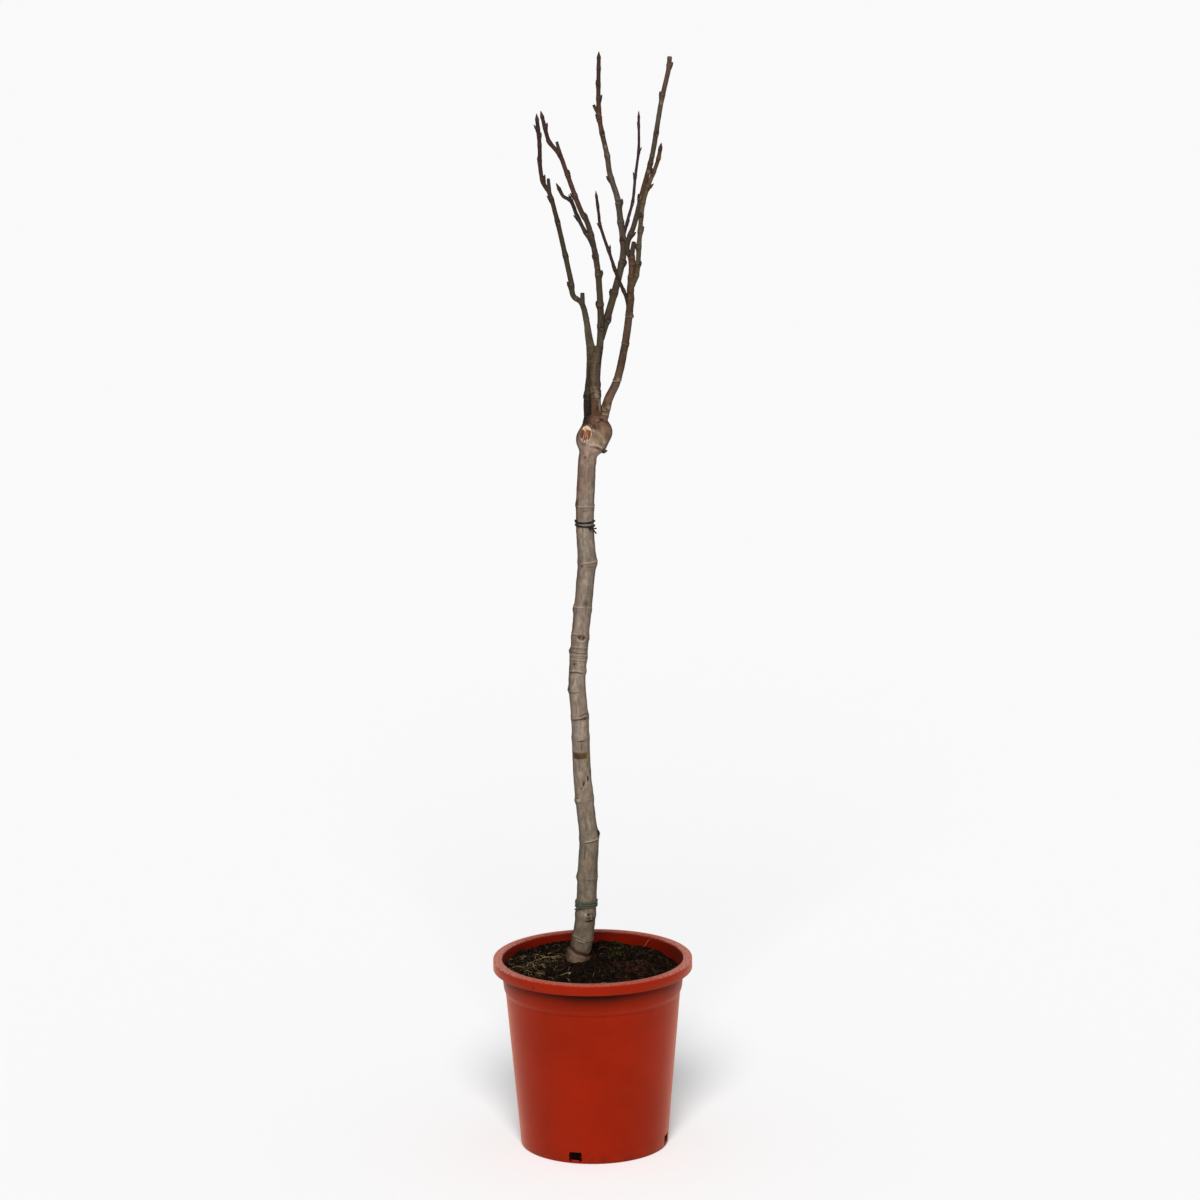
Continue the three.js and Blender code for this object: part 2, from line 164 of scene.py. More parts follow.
def makeDustAndTopLightGroup():
    # dust and scuffs that gather where a surface faces up; their pale colour also paints the top light on
    # those faces
    tree, given, out = newGroup(
        "dustAndTopLight",
        {"Vector": "Vector", "Colour": "Color", "Dust": "Color", "Amount": "Float", "Scale": "Float"},
        {"Colour": "Color", "Mask": "Float"})
    up = tree.spread(tree.add("SeparateXYZ", {0: tree.add("NewGeometry")["Normal"]})[2], 0.55, 1.0)
    cloud = tree.noise(given["Vector"], given["Scale"], 6.0, 0.65)
    mask = tree.times(tree.times(up, tree.spread(cloud, 0.3, 0.62)), given["Amount"], clamp=True)
    tree.join(tree.mix(mask, given["Colour"], given["Dust"]), out["Colour"])
    tree.join(mask, out["Mask"])
    return tree.tree


def makeBarkGroup():
    # streaks, patches, pores and painted marks of bark, on a limb's own straightened coordinates
    tints = dict.fromkeys(["Bark", "Marks", "Deep", "Pale", "Rust", "Green", "Patch"], "Color")
    amounts = dict.fromkeys(["Moss", "Patchiness", "Pores", "Streaks", "Fineness"], "Float")
    tree, given, out = newGroup(
        "barkSkin", {"Vector": "Vector", **tints, **amounts},
        {"Colour": "Color", "Roughness": "Float", "Height": "Float"})
    place, fineness = given["Vector"], given["Fineness"]

    def noise(scale, detail, roughness, lengthwise):
        return tree.noise(place, tree.times(fineness, scale), detail, roughness, (1, 1, lengthwise))

    streak, grain = noise(900.0, 4.0, 0.6, 0.09), noise(1500.0, 3.0, 0.6, 0.6)
    patch, cloud = noise(70.0, 4.0, 0.6, 0.45), noise(230.0, 3.0, 0.5, 0.7)
    shade = tree.times(tree.spread(streak, 0.3, 0.7, -0.5, 0.5), given["Streaks"])
    for uneven in (cloud, grain):
        shade = tree.plus(shade, tree.spread(uneven, 0.3, 0.7, -0.24, 0.24))
    colour = tree.shade(given["Bark"], tree.plus(shade, 1.0))
    share = tree.times(tree.spread(patch, 0.42, 0.62), given["Patchiness"])
    colour = tree.mix(share, colour, given["Patch"])
    wide = tree.add("Mapping", {"Vector": place, "Scale": (1, 1, 1.5)})[0]
    cells = tree.add("TexVoronoi", {"Vector": wide, "Scale": tree.times(fineness, 420.0)})
    chosen = tree.add("SeparateColor", {0: cells["Color"]})[0]
    pores = []
    # pale pores in some cells and small dark ones in others
    for near, far, low, high, tint in ((0.1, 0.24, 0.45, 0.6, "Pale"), (0.07, 0.17, 0.3, 0.2, "Deep")):
        pore = tree.spread(cells["Distance"], near, far, 1.0, 0.0)
        pore = tree.times(pore, tree.spread(chosen, low, high))
        pores.append(tree.times(pore, given["Pores"]))
        colour = tree.mix(pores[-1], colour, given[tint])
    marks = tree.add("SeparateColor", {0: given["Marks"]})
    ragged = tree.spread(grain, 0.3, 0.7, 0.72, 1.2)
    painted = {"Green": given["Moss"], "Rust": marks[2], "Pale": marks[1], "Deep": marks[0]}
    for tint, mark in painted.items():
        colour = tree.mix(tree.times(mark, ragged, clamp=True), colour, given[tint])
    rough = tree.plus(tree.spread(cloud, 0.3, 0.7, 0.62, 0.84), tree.times(marks[0], 0.1))
    height = tree.plus(tree.times(streak, 0.55), tree.times(grain, 0.5))
    height = tree.plus(height, tree.times(pores[0], 0.35))
    for label, value in (("Colour", colour), ("Roughness", rough), ("Height", height)):
        tree.join(value, out[label])
    return tree.tree


dustAndTopLight = makeDustAndTopLightGroup()
barkSkin = makeBarkGroup()

barkLooks = {
    "stemBark": {
        "Deep": rgb(30, 20, 14), "Pale": rgb(150, 134, 116), "Rust": rgb(74, 38, 25),
        "Green": rgb(104, 98, 66), "Patch": rgb(100, 82, 71), "Patchiness": 0.4, "Pores": 0.48,
        "Streaks": 0.46, "Fineness": 1, "bump": 0.5,
    },
    "twigBark": {
        "Deep": rgb(14, 10, 8), "Pale": rgb(112, 90, 76), "Rust": rgb(80, 44, 28), "Green": rgb(50, 51, 28),
        "Patch": rgb(56, 43, 34), "Patchiness": 0.4, "Pores": 0.45, "Streaks": 0.5, "Fineness": 1.7,
        "bump": 0.6,
    },
}


def makeBarkMaterial(name):
    look = dict(barkLooks[name])
    bump = look.pop("bump")
    tree = newMaterial(name, Specular_IOR_Level=0.12)
    skin = tree.add("Group", node_tree=barkSkin, inputs={
        "Vector": tree.own("straight", "Vector"), "Bark": tree.own("bark"), "Marks": tree.own("marks"),
        "Moss": tree.own("marks", "Alpha"), **look})
    return tree.finish(skin["Colour"], skin["Roughness"], skin["Height"], bump, 0.0004)


# Camera, floor and light

photoView = {"place": (0.0117, -4.5, 1.547), "pitch": 12.04, "roll": -0.6016, "lens": 133.2, "sensor": 36.0}


def makeCamera():
    camera = addObject("photoCamera", bpy.ops.object.camera_add, location=photoView["place"])
    pitched = Matrix.Rotation(math.radians(90 - photoView["pitch"]), 3, "X")
    rolled = Matrix.Rotation(math.radians(photoView["roll"]), 3, "Z")
    camera.rotation_euler = (pitched @ rolled).to_euler()
    camera.data.lens = photoView["lens"]
    camera.data.sensor_width = photoView["sensor"]
    camera.data.clip_end = 100
    scene.camera = camera


studio = {
    "floorSize": 60, "floorColour": (0.93, 0.93, 0.93, 1), "skyStrength": 0.3,
    "sunFrom": (-0.03, -1.0, 0.78), "sunStrength": 3.7, "sunSoftness": 26,
}


def makeStudio():
    world = bpy.data.worlds.new("paleStudio")
    world.use_nodes = True
    background = world.node_tree.nodes["Background"].inputs
    background["Color"].default_value = (1, 1, 1, 1)
    background["Strength"].default_value = studio["skyStrength"]
    scene.world = world
    floor = addObject(
        "studioFloor", bpy.ops.mesh.primitive_plane_add, size=studio["floorSize"], location=(0, 0, -0.0002))
    paper = newMaterial(
        "paperWhite", Base_Color=studio["floorColour"], Roughness=0.95, Specular_IOR_Level=0.0)
    floor.data.materials.append(paper.material)
    sun = addObject("frontSun", bpy.ops.object.light_add, type="SUN", location=studio["sunFrom"])
    sun.data.energy = studio["sunStrength"]
    sun.data.angle = math.radians(studio["sunSoftness"])
    sun.rotation_euler = Vector(studio["sunFrom"]).to_track_quat("Z", "Y").to_euler()


makeCamera()
makeStudio()
print("camera, floor and light ready")


# Numbers, curves, noise and limbs

def bell(value, middle=0, width=1, power=2):
    return np.exp(-(((value - middle) / width) ** power))


def ramp(value, start, length):
    # from 0 at the start to 1 a length further, or a length before it where the length is negative
    return np.clip((value - start) / length, 0, 1)


def eased(share):
    return share * share * (3 - 2 * share)


def blend(first, second, share):
    return first * (1 - share) + second * share


def unit(vectors):
    return vectors / np.linalg.norm(vectors, axis=-1, keepdims=True)


def circle(sides):
    return np.arange(sides) * 2 * math.pi / sides


def turned(turns, turn):
    # degrees from a turn, -180 to 180
    return (turns - turn + 180) % 360 - 180


def spokes(side, front, angles):
    # unit vectors out of a line, at every place and angle
    return side[:, None] * np.cos(angles)[None, :, None] + front[:, None] * np.sin(angles)[None, :, None]


def straightened(angles, radius, lengths, offset=0):
    # a limb's points as if it stood upright, for the grain of its bark
    rows = np.zeros((len(lengths), len(angles), 3))
    rows[..., 0] = np.cos(angles) * radius + offset
    rows[..., 1] = np.sin(angles) * radius
    rows[..., 2] = np.asarray(lengths)[:, None]
    return rows


class SmoothLine:
    # a centripetal curve through points, read by its arc length
    def __init__(self, points, steps=60):
        given = np.array(points, float)
        p = np.concatenate([[2 * given[0] - given[1]], given, [2 * given[-1] - given[-2]]])
        gaps = np.sqrt(np.linalg.norm(np.diff(p, axis=0), axis=1))
        rows = [p[1]]
        t = np.linspace(0, 1, steps + 1)[1:, None]
        for i in range(1, len(p) - 2):
            before, here, after = gaps[i - 1:i + 2]
            x0, x1, x2, x3 = p[i - 1:i + 3]
            leave = ((x1 - x0) / before - (x2 - x0) / (before + here) + (x2 - x1) / here) * here
            reach = ((x2 - x1) / here - (x3 - x1) / (here + after) + (x3 - x2) / after) * here
            cubic = (2 * x1 - 2 * x2 + leave + reach) * t**3
            rows.extend(cubic + (-3 * x1 + 3 * x2 - 2 * leave - reach) * t**2 + leave * t + x1)
        self.points = np.array(rows)
        strides = np.linalg.norm(np.diff(self.points, axis=0), axis=1)
        self.lengths = np.concatenate([[0], np.cumsum(strides)])
        self.total = self.lengths[-1]

    def at(self, places):
        return np.stack([np.interp(places, self.lengths, self.points[:, k]) for k in range(3)], -1)

    def along(self, places):
        low, high = (np.clip(np.asarray(places) + step, 0, self.total) for step in (-0.5, 0.5))
        return unit(self.at(high) - self.at(low))

    def placeAtHeight(self, height):
        passed = np.nonzero(self.points[:, 2] >= height)[0]
        return self.lengths[passed[0]] if len(passed) else self.total

    def frames(self, places):
        # unit vectors along the line, to its right and to its front
        along = self.along(places)
        side = unit(np.array([1.0, 0, 0]) - along * along[..., :1])
        return along, side, np.cross(side, along)


def softNoise(points, size, seed):
    # smooth lumps of the given size, from -1 to 1
    p = np.asarray(points, float) / size + seed * 7.31
    cell = np.floor(p).astype(np.int64)
    t = eased(p - cell)
    total = np.zeros(p.shape[:-1])
    for corner in range(8):
        step = np.array([corner & 1, corner >> 1 & 1, corner >> 2 & 1])
        c = cell + step
        mixed = (c[..., 0] * 73856093) ^ (c[..., 1] * 19349663) ^ (c[..., 2] * 83492791) ^ (seed * 265443)
        mixed = ((mixed & 0x7FFFFFFF) * 1103515245 + 12345) & 0x7FFFFFFF
        weight = np.prod(np.where(step == 1, t, 1 - t), axis=-1)
        total += weight * (((mixed >> 8) & 0xFFFF) / 32767.5 - 1)
    return total


def randomFrom(seed):
    # the same repeatable numbers as the twig rule of the solids
    while True:
        seed = (seed * 1664525 + 1013904223) % 2**32
        yield seed / 2**32


def tubeFaces(rings, sides):
    ring, side = np.arange(rings - 1)[:, None] * sides, np.arange(sides)[None, :]
    beside = (side + 1) % sides
    corners = [ring + side, ring + sides + side, ring + sides + beside, ring + beside]
    return np.stack(corners, -1).reshape(-1, 4)


def capFaces(rings, sides, centre, top):
    side = np.arange(sides)
    edges = [side, (side + 1) % sides]
    if top:
        edges = [(rings - 1) * sides + edge for edge in reversed(edges)]
    return np.stack([np.full(sides, centre), *edges], -1)


def closedTube(rings, sides):
    # the middle points of the foot and the tip follow the rings' own points
    caps = [capFaces(rings, sides, rings * sides + top, top) for top in (False, True)]
    return [tubeFaces(rings, sides), *caps]


class PieceMesh:
    # gathers the parts of one piece: points in millimetres, faces, and what the material reads
    def __init__(self):
        self.points, self.faces, self.straight, self.bark, self.marks = [], [], [], [], []
        self.count = 0

    def add(self, points, faces, bark, marks=(0, 0, 0, 0), straight=None):
        points = np.asarray(points, float).reshape(-1, 3)
        for face in faces:
            self.faces.extend((face + self.count).tolist())
        self.points.append(points)
        self.straight.append(points if straight is None else straight)
        self.bark.append(np.broadcast_to(bark, (len(points), 4)))
        self.marks.append(np.broadcast_to(marks, (len(points), 4)))
        self.count += len(points)

    def makePiece(self, name, material, slot, *nodes):
        mesh = bpy.data.meshes.new(name)
        mesh.from_pydata((np.concatenate(self.points) * mm).tolist(), [], self.faces)
        straight = mesh.attributes.new("straight", "FLOAT_VECTOR", "POINT")
        straight.data.foreach_set("vector", (np.concatenate(self.straight) * mm).ravel())
        for label, rows in (("bark", self.bark), ("marks", self.marks)):
            layer = mesh.attributes.new(label, "FLOAT_COLOR", "POINT")
            layer.data.foreach_set("color", np.concatenate(rows).ravel())
        mesh.polygons.foreach_set("use_smooth", [True] * len(mesh.polygons))
        mesh.update()
        mesh.materials.append(material)
        piece = bpy.data.objects.new(name, mesh)
        scene.collection.objects.link(piece)
        finishPiece(piece, slot, *nodes)


class Skin:
    # the surface of one limb: a radius and marks at every ring and side, before it is bent in place
    channels = {"dark": 0, "pale": 1, "rust": 2, "green": 3}

    def __init__(self, line, places, sides, radius, colour):
        self.line, self.places, self.sides = line, np.asarray(places), sides
        self.angles = circle(sides)
        self.turns = turned(90, np.degrees(self.angles))  # degrees from the front, to the right
        self.radius = np.repeat(np.asarray(radius, float)[:, None], sides, 1)
        self.marks = np.zeros((len(places), sides, 4))
        self.bark = np.broadcast_to(np.array(colour, float).reshape(-1, 1, 4), self.marks.shape).copy()
        self.mean = float(np.mean(radius))

    def rays(self):
        # the middle of every ring, and the unit vectors out of it
        _, side, front = self.line.frames(self.places)
        return self.line.at(self.places)[:, None], spokes(side, front, self.angles)

    def surface(self):
        centre, outward = self.rays()
        return centre + outward * self.radius[..., None]

    def straight(self, offset=0):
        return straightened(self.angles, self.mean, self.places, offset)

    def across(self, turn):
        return np.radians(turned(self.turns, turn))[None, :] * self.mean

    def paint(self, channel, amount):
        layer = self.marks[..., self.channels[channel]]
        np.maximum(layer, amount, out=layer)

    def ring(self, place, start=-180, end=180, ridge=0.3, groove=0.3, pale=0.5, dark=0.6, tilt=0.0,
             wave=0.3, width=0.7, rust=0.0):
        lean = tilt * np.sin(np.radians(self.turns)) + wave * np.sin(np.radians(self.turns) * 3 + place)
        away = self.places[:, None] - place - lean[None, :]
        middle, half = (start + end) / 2, (end - start) / 2
        shown = 1 if half >= 180 else ramp(np.abs(turned(self.turns, middle)), half + 8, -16)
        above = bell(away, 0.8, width) * shown
        below = bell(away, -0.5, 0.75 * width) * shown
        self.radius += ridge * above - groove * below
        self.paint("pale", pale * above)
        self.paint("dark", dark * below)
        self.paint("rust", rust * above)

    def spot(self, place, turn, high, wide, rise=0.0, edge=0.0, tilt=0.0, **marks):
        v = (self.places[:, None] - place) / high
        q = np.hypot(self.across(turn) / wide + tilt * v, v)
        self.radius += rise * bell(q) + edge * bell(q, 1, 0.3)
        for channel, amount in marks.items():
            if channel.startswith("rim"):
                self.paint(channel[3:].lower(), amount * bell(q, 1.1, 0.3))
            else:
                self.paint(channel, amount * bell(q, power=4))

    def addRings(self, rows, **look):
        # rows of height, first and last turn, pale, dark and ridge, and what else differs from the look
        for height, first, last, pale, dark, ridge, *differs in rows:
            given = {"pale": pale, "dark": dark, "ridge": ridge, **look, **dict(*differs)}
            self.ring(self.line.placeAtHeight(height), first, last, **given)

    def addSpots(self, rows):
        # rows of height, turn, half height, half width, rise and dark, and what other marks there are
        for height, turn, high, wide, rise, dark, *marks in rows:
            self.spot(self.line.placeAtHeight(height), turn, high, wide, rise, dark=dark, **dict(*marks))

    def roughen(self, wear, offset=0):
        for rise, size, seed in wear["lumps"]:
            self.radius += rise * softNoise(self.straight(), size, seed + offset)

    def mottleAndShadeFlanks(self, wear, offset=0):
        for strength, size, seed, *tint in wear["clouds"]:
            cloud = softNoise(self.straight() * [1, 1, 0.4], size, seed + offset)[..., None]
            self.bark[..., :3] *= 1 + strength * cloud * np.array(tint or (1, 1, 1))
        # painted shade: the bark is darker on its flanks, unevenly
        strength, size, seed = wear["shadedFlanks"]
        uneven = 1 + 0.4 * softNoise(self.straight(), size, seed + offset)
        flankShade = np.sin(np.radians(self.turns))[None, :] ** 6 * uneven
        self.bark[..., :3] *= 1 - strength * np.clip(flankShade, 0, 1.2)[..., None]

    def addTo(self, mesh, offset=0):
        ends = [0, -1]
        endsFlat = [(offset, 0, self.places[end]) for end in ends]
        rows = (
            (self.surface(), self.line.at(self.places[ends])), (self.bark, self.bark[ends, 0]),
            (self.marks, self.marks[ends].mean(1)), (self.straight(offset), endsFlat))
        points, bark, marks, flat = (
            np.concatenate([rings.reshape(-1, rings.shape[-1]), middles]) for rings, middles in rows)
        mesh.add(points, closedTube(len(self.places), self.sides), bark, marks, flat)


def ringPlaces(start, end, step, nodes, fine, reach):
    # even steps along a limb, and close ones round each node
    places = list(np.arange(start, end, step))
    for node in nodes:
        places = [p for p in places if abs(p - node) > reach]
        places.extend(p for p in np.arange(node - reach, node + reach + 0.01, fine) if start <= p <= end)
    return np.unique(np.round([start, *places, end], 3))


# Pot

# The pot's outline runs as radius and height, from the middle of the underside up to the lip and
# down the inside.
pot = {
    "facets": 144,
    "outside": [
        (77.2, 0), (78, 0.8), (78.9, 12), (81.5, 42), (84.9, 82), (88.4, 122), (91.2, 155.5), (91.9, 163.5),
        (92.1, 165.8), (92.5, 166.9), (93.3, 169.2), (93.8, 170.4), (94.1, 171.6), (95.4, 184), (97, 197.5),
        (97.8, 199.2),
    ],
    "lip": [
        (102.9, 199.2), (103, 191.9), (103.5, 191.5), (104.6, 191.5), (105, 192.1), (105, 201.5),
        (104.7, 202.2), (104, 202.7), (100.5, 203), (97, 202.8), (96, 202.3), (95.6, 201.4),
    ],
    "inside": [
        (94.8, 193), (91.8, 170.8), (91.2, 168.6), (90.2, 165), (89.9, 163.2), (86.4, 122), (82.9, 82),
        (79.5, 42), (76.2, 2.5), (60, 2.5), (30, 2.5),
    ],
    "insideTop": 201.6,
    "drainTurns": [-15, 75, 165, 255],
    "drainSize": (13.1, 14, 9.2),
    "drainHeight": 8.0,
    "drainReach": 78,
    "softEdge": 0.35,
    "sharpFrom": 35,  # degrees between faces whose edge is softened, or shaded as a crease
    "creaseFrom": 40,
}


def extrudeRings(name, rows, facets):
    # a circle drawn up ring by ring, each ring resized about the middle, and closed at its end
    radius, height = rows[0]
    piece = addObject(
        name, bpy.ops.mesh.primitive_circle_add, vertices=facets, radius=radius * mm, fill_type="NGON",
        location=(0, 0, height * mm))
    bpy.ops.object.transform_apply(location=True)
    bpy.ops.object.mode_set(mode="EDIT")
    bpy.ops.mesh.select_mode(type="EDGE")
    bpy.ops.mesh.select_all(action="SELECT")
    for nextRadius, nextHeight in rows[1:]:
        rise = (nextHeight - height) * mm
        bpy.ops.mesh.extrude_edges_move(TRANSFORM_OT_translate={"value": (0, 0, rise)})
        share = nextRadius / radius
        bpy.ops.transform.resize(value=(share, share, 1), center_override=(0, 0, nextHeight * mm))
        radius, height = nextRadius, nextHeight
    bpy.ops.mesh.edge_face_add()
    bpy.ops.mesh.select_all(action="SELECT")
    bpy.ops.mesh.normals_make_consistent(inside=False)
    bpy.ops.object.mode_set(mode="OBJECT")
    return piece


def makePot(*materials):
    body = extrudeRings("potBody", pot["outside"] + pot["lip"] + pot["inside"], pot["facets"])
    cutters = []
    for degrees in pot["drainTurns"]:
        place = (0, -pot["drainReach"] * mm, pot["drainHeight"] * mm)
        cutter = addObject("drainCutter", bpy.ops.mesh.primitive_cube_add, size=1, location=place)
        cutter.scale = [size * mm for size in pot["drainSize"]]
        bpy.ops.object.transform_apply(location=True, scale=True)
        cutter.data.transform(Matrix.Rotation(math.radians(degrees), 4, "Z"))
        cutters.append(cutter)
        window = body.modifiers.new("drainWindow", "BOOLEAN")
        window.operation, window.solver, window.object = "DIFFERENCE", "EXACT", cutter
    applyModifiers(body)
    for cutter in cutters:
        bpy.data.objects.remove(cutter)
    edges = body.modifiers.new("softEdges", "BEVEL")
    edges.width, edges.segments = pot["softEdge"] * mm, 2
    edges.limit_method, edges.angle_limit = "ANGLE", math.radians(pot["sharpFrom"])
    applyModifiers(body)
    bpy.ops.object.shade_smooth_by_angle(angle=math.radians(pot["creaseFrom"]))
    body.data.materials.clear()
    for material in materials:
        body.data.materials.append(material)
    for face in body.data.polygons:
        across = face.center.xy.length
        # the inside wall: its faces look at the pot's axis
        if face.normal.xy.dot(face.center.xy) < -0.3 * across and face.center.z < pot["insideTop"] * mm:
            face.material_index = 1
    finishPiece(body, "pot_plastic", "pot")


# Heights, distances and the specks' sizes are in metres here, as the shader reads them.
potFinish = {
    "sheens": {"potPlastic": 0.36, "potInside": 0.04}, "sheenTint": (1, 0.33, 0.18, 1),
    # inside and insideShade are painted shade colours for the inside wall
    "plastic": rgb(132, 25, 3), "deep": rgb(122, 22, 2), "faded": rgb(140, 35, 9), "inside": rgb(96, 15, 4),
    # dust is partly a painted highlight of the top light on upward faces
    "insideShade": rgb(84, 13, 4), "dust": rgb(172, 96, 78), "scuff": rgb(168, 88, 66),
    # lipShade paints the shadow under the lip and the shade line at the step
    "rim": rgb(203, 150, 139), "grime": rgb(46, 14, 7), "lipShade": rgb(52, 8, 2),
    "specks": [
        (-0.0617, -0.0849, 0.195, 0.0017), (0.015, -0.0826, 0.019, 0.0035),
        (-0.078, -0.056, 0.2024, 0.0013), (-0.031, -0.0905, 0.2024, 0.001), (0.05, -0.0818, 0.2024, 0.0013),
        (-0.09, -0.0325, 0.2024, 0.0014), (0.0905, -0.031, 0.2024, 0.0012),
        (-0.052, -0.0912, 0.1985, 0.0009),
    ],
}


def makePotMaterial(name, sheen):
    tree = newMaterial(
        name, Specular_IOR_Level=0.04, Sheen_Weight=sheen, Sheen_Roughness=0.45,
        Sheen_Tint=potFinish["sheenTint"])
    place = tree.place()
    cloud = tree.noise(place, 14.0, 4.0, 0.6)
    fine = tree.noise(place, 420.0, 3.0, 0.6)
    colour = tree.mix(tree.spread(cloud, 0.35, 0.65), potFinish["plastic"], potFinish["deep"])
    cloudy = tree.spread(tree.noise(place, 42.0, 5.0, 0.65), 0.52, 0.8, 0.0, 0.2)
    colour = tree.mix(cloudy, colour, potFinish["faded"])
    axes = tree.add("SeparateXYZ", {0: place})
    height = axes[2]
    sideways = tree.add("Math", {0: axes[0]}, operation="ABSOLUTE")[0]
    # fine scratches round the side, short and uneven
    scratch = tree.spread(tree.noise(place, 60.0, 6.0, 0.75, (1, 1, 22)), 0.67, 0.76, 0.0, 0.14)
    colour = tree.mix(scratch, colour, potFinish["scuff"])
    # painted shade on the inside wall, stronger lower down and darker towards the left and right: its
    # normal points at the pot's axis
    flat = tree.vectors("MULTIPLY", place, (1, 1, 0))[0]
    away = tree.vectors("NORMALIZE", flat)[0]
    facing = tree.vectors("DOT_PRODUCT", away, tree.add("NewGeometry")["Normal"])["Value"]
    paintedInsideShade = tree.times(tree.spread(facing, -0.35, -0.8), tree.spread(height, 0.2015, 0.196, 0.25, 0.95))
    shadedInsideColour = tree.mix(tree.spread(sideways, 0.035, 0.085), potFinish["inside"], potFinish["insideShade"])
    # painted shadow in a band under the lip, lighter away from the middle, and a painted shade line at the
    # step below it
    radius = tree.vectors("LENGTH", flat)["Value"]
    under = tree.times(tree.spread(radius, 0.1005, 0.0995), tree.spread(height, 0.169, 0.186))
    under = tree.times(under, tree.spread(sideways, 0.018, 0.06, 0.95, 0.45))
    colour = tree.mix(under, colour, potFinish["lipShade"])
    step = tree.times(tree.spread(height, 0.1636, 0.165), tree.spread(height, 0.1674, 0.166))
    colour = tree.mix(tree.times(step, 0.25), colour, potFinish["lipShade"])
    colour = tree.mix(paintedInsideShade, colour, shadedInsideColour)
    # grime near the foot
    low = tree.spread(height, 0.02, 0.0, 0.0, 0.3)
    low = tree.times(low, tree.spread(tree.noise(place, 90.0, 5.0, 0.7), 0.4, 0.6))
    colour = tree.mix(low, colour, potFinish["grime"])
    # partly real dust on the upward faces and partly a painted highlight of the top light
    dustedAndLit = tree.add("Group", node_tree=dustAndTopLight, inputs={
        "Vector": place, "Colour": colour, "Dust": potFinish["dust"], "Amount": 0.5, "Scale": 120.0})
    # wear on the top of the rim, with a painted reflection making it paler towards the left and right
    specks = tree.spread(tree.noise(place, 330.0, 6.0, 0.75), 0.4, 0.58, 0.15, 1.0)
    specks = tree.times(specks, tree.spread(sideways, 0.06, 0.102, 0.16, 0.68))
    rimWearAndReflection = tree.times(tree.spread(height, 0.2008, 0.2024), specks)
    # the inside wall's painted shade laid again over the dust, which leaves it less dusty
    insideShadeOverDust = tree.mix(tree.times(paintedInsideShade, 0.8), dustedAndLit["Colour"], shadedInsideColour)
    final = tree.mix(rimWearAndReflection, insideShadeOverDust, potFinish["rim"])
    for *speck, size in potFinish["specks"]:
        off = tree.vectors("DISTANCE", place, speck)["Value"]
        final = tree.mix(tree.spread(off, size, size * 0.5, 0.0, 0.8), final, potFinish["grime"])
    rough = tree.plus(tree.spread(cloud, 0.3, 0.7, 0.3, 0.4), tree.spread(fine, 0.3, 0.7, -0.04, 0.06))
    rough = tree.plus(rough, tree.times(dustedAndLit["Mask"], 0.3))
    return tree.finish(final, rough, tree.plus(tree.times(fine, 0.4), scratch), 0.2, 0.0002)


makePot(*(makePotMaterial(name, sheen) for name, sheen in potFinish["sheens"].items()))


# Soil

soil = {
    "facets": 240,
    "rings": (93.2, 1.0, 1.15),  # the top's outer and inner radius, and the step between its rings
    "base": 189.4,
    "tilt": (-0.03, 0.04),
    "dip": (58, -14, 3, 34),  # x, y, depth and spread
    "level": 193.4,
    "bank": (2.8, 15, 7),  # height, distance from the stem's middle and spread
    "stem": (-16, 16),
    "flat": (30, 14),  # level round the stem, and the distance over which that ends
    "lumps": [(16, 1.3, 3), (7, 0.9, 5), (3.2, 0.6, 7), (1.6, 0.3, 9)],  # size, height and seed
    "side": [(75.9, 2.8), (89.6, 163.5), (91.5, 170.8)],
    "dark": rgb(7, 5, 4), "light": rgb(24, 16, 11), "warm": rgb(34, 20, 13), "bits": rgb(82, 64, 42),
}


def fromStem(x, y):
    return np.hypot(x - soil["stem"][0], y - soil["stem"][1])


def soilLevelAt(x, y):
    dipX, dipY, depth, width = soil["dip"]
    dip = depth * np.exp(-((x - dipX) ** 2 + (y - dipY) ** 2) / width**2)
    wave = 0.6 * np.sin(x * 0.21 + 1.3) * np.sin(y * 0.17 + 0.4)
    openLevel = soil["base"] + soil["tilt"][0] * x + soil["tilt"][1] * y - dip + wave
    away = fromStem(x, y)
    level = blend(soil["level"], openLevel, eased(ramp(away, *soil["flat"])))
    rise, distance, width = soil["bank"]
    level = level + rise * bell(away, distance, width)
    near = np.maximum(ramp(away, 12, 6), 0.15)
    spots = np.stack([x, y, np.zeros_like(x)], -1)
    return level + near * sum(height * softNoise(spots, size, seed) for size, height, seed in soil["lumps"])


def makeSoil(material):
    outer, inner, step = soil["rings"]
    rings = [(radius, soil["base"]) for radius in np.arange(outer, inner, -step)]
    body = extrudeRings("soilBody", soil["side"] + rings, soil["facets"])
    places = np.zeros(len(body.data.vertices) * 3)
    body.data.vertices.foreach_get("co", places)
    places = places.reshape(-1, 3) / mm
    top = places[:, 2] > soil["base"] - 0.1
    places[top, 2] = soilLevelAt(places[top, 0], places[top, 1])
    body.data.vertices.foreach_set("co", (places * mm).ravel())
    body.data.polygons.foreach_set("use_smooth", [True] * len(body.data.polygons))
    body.data.materials.clear()
    body.data.materials.append(material)
    finishPiece(body, "potting_soil", "soil")


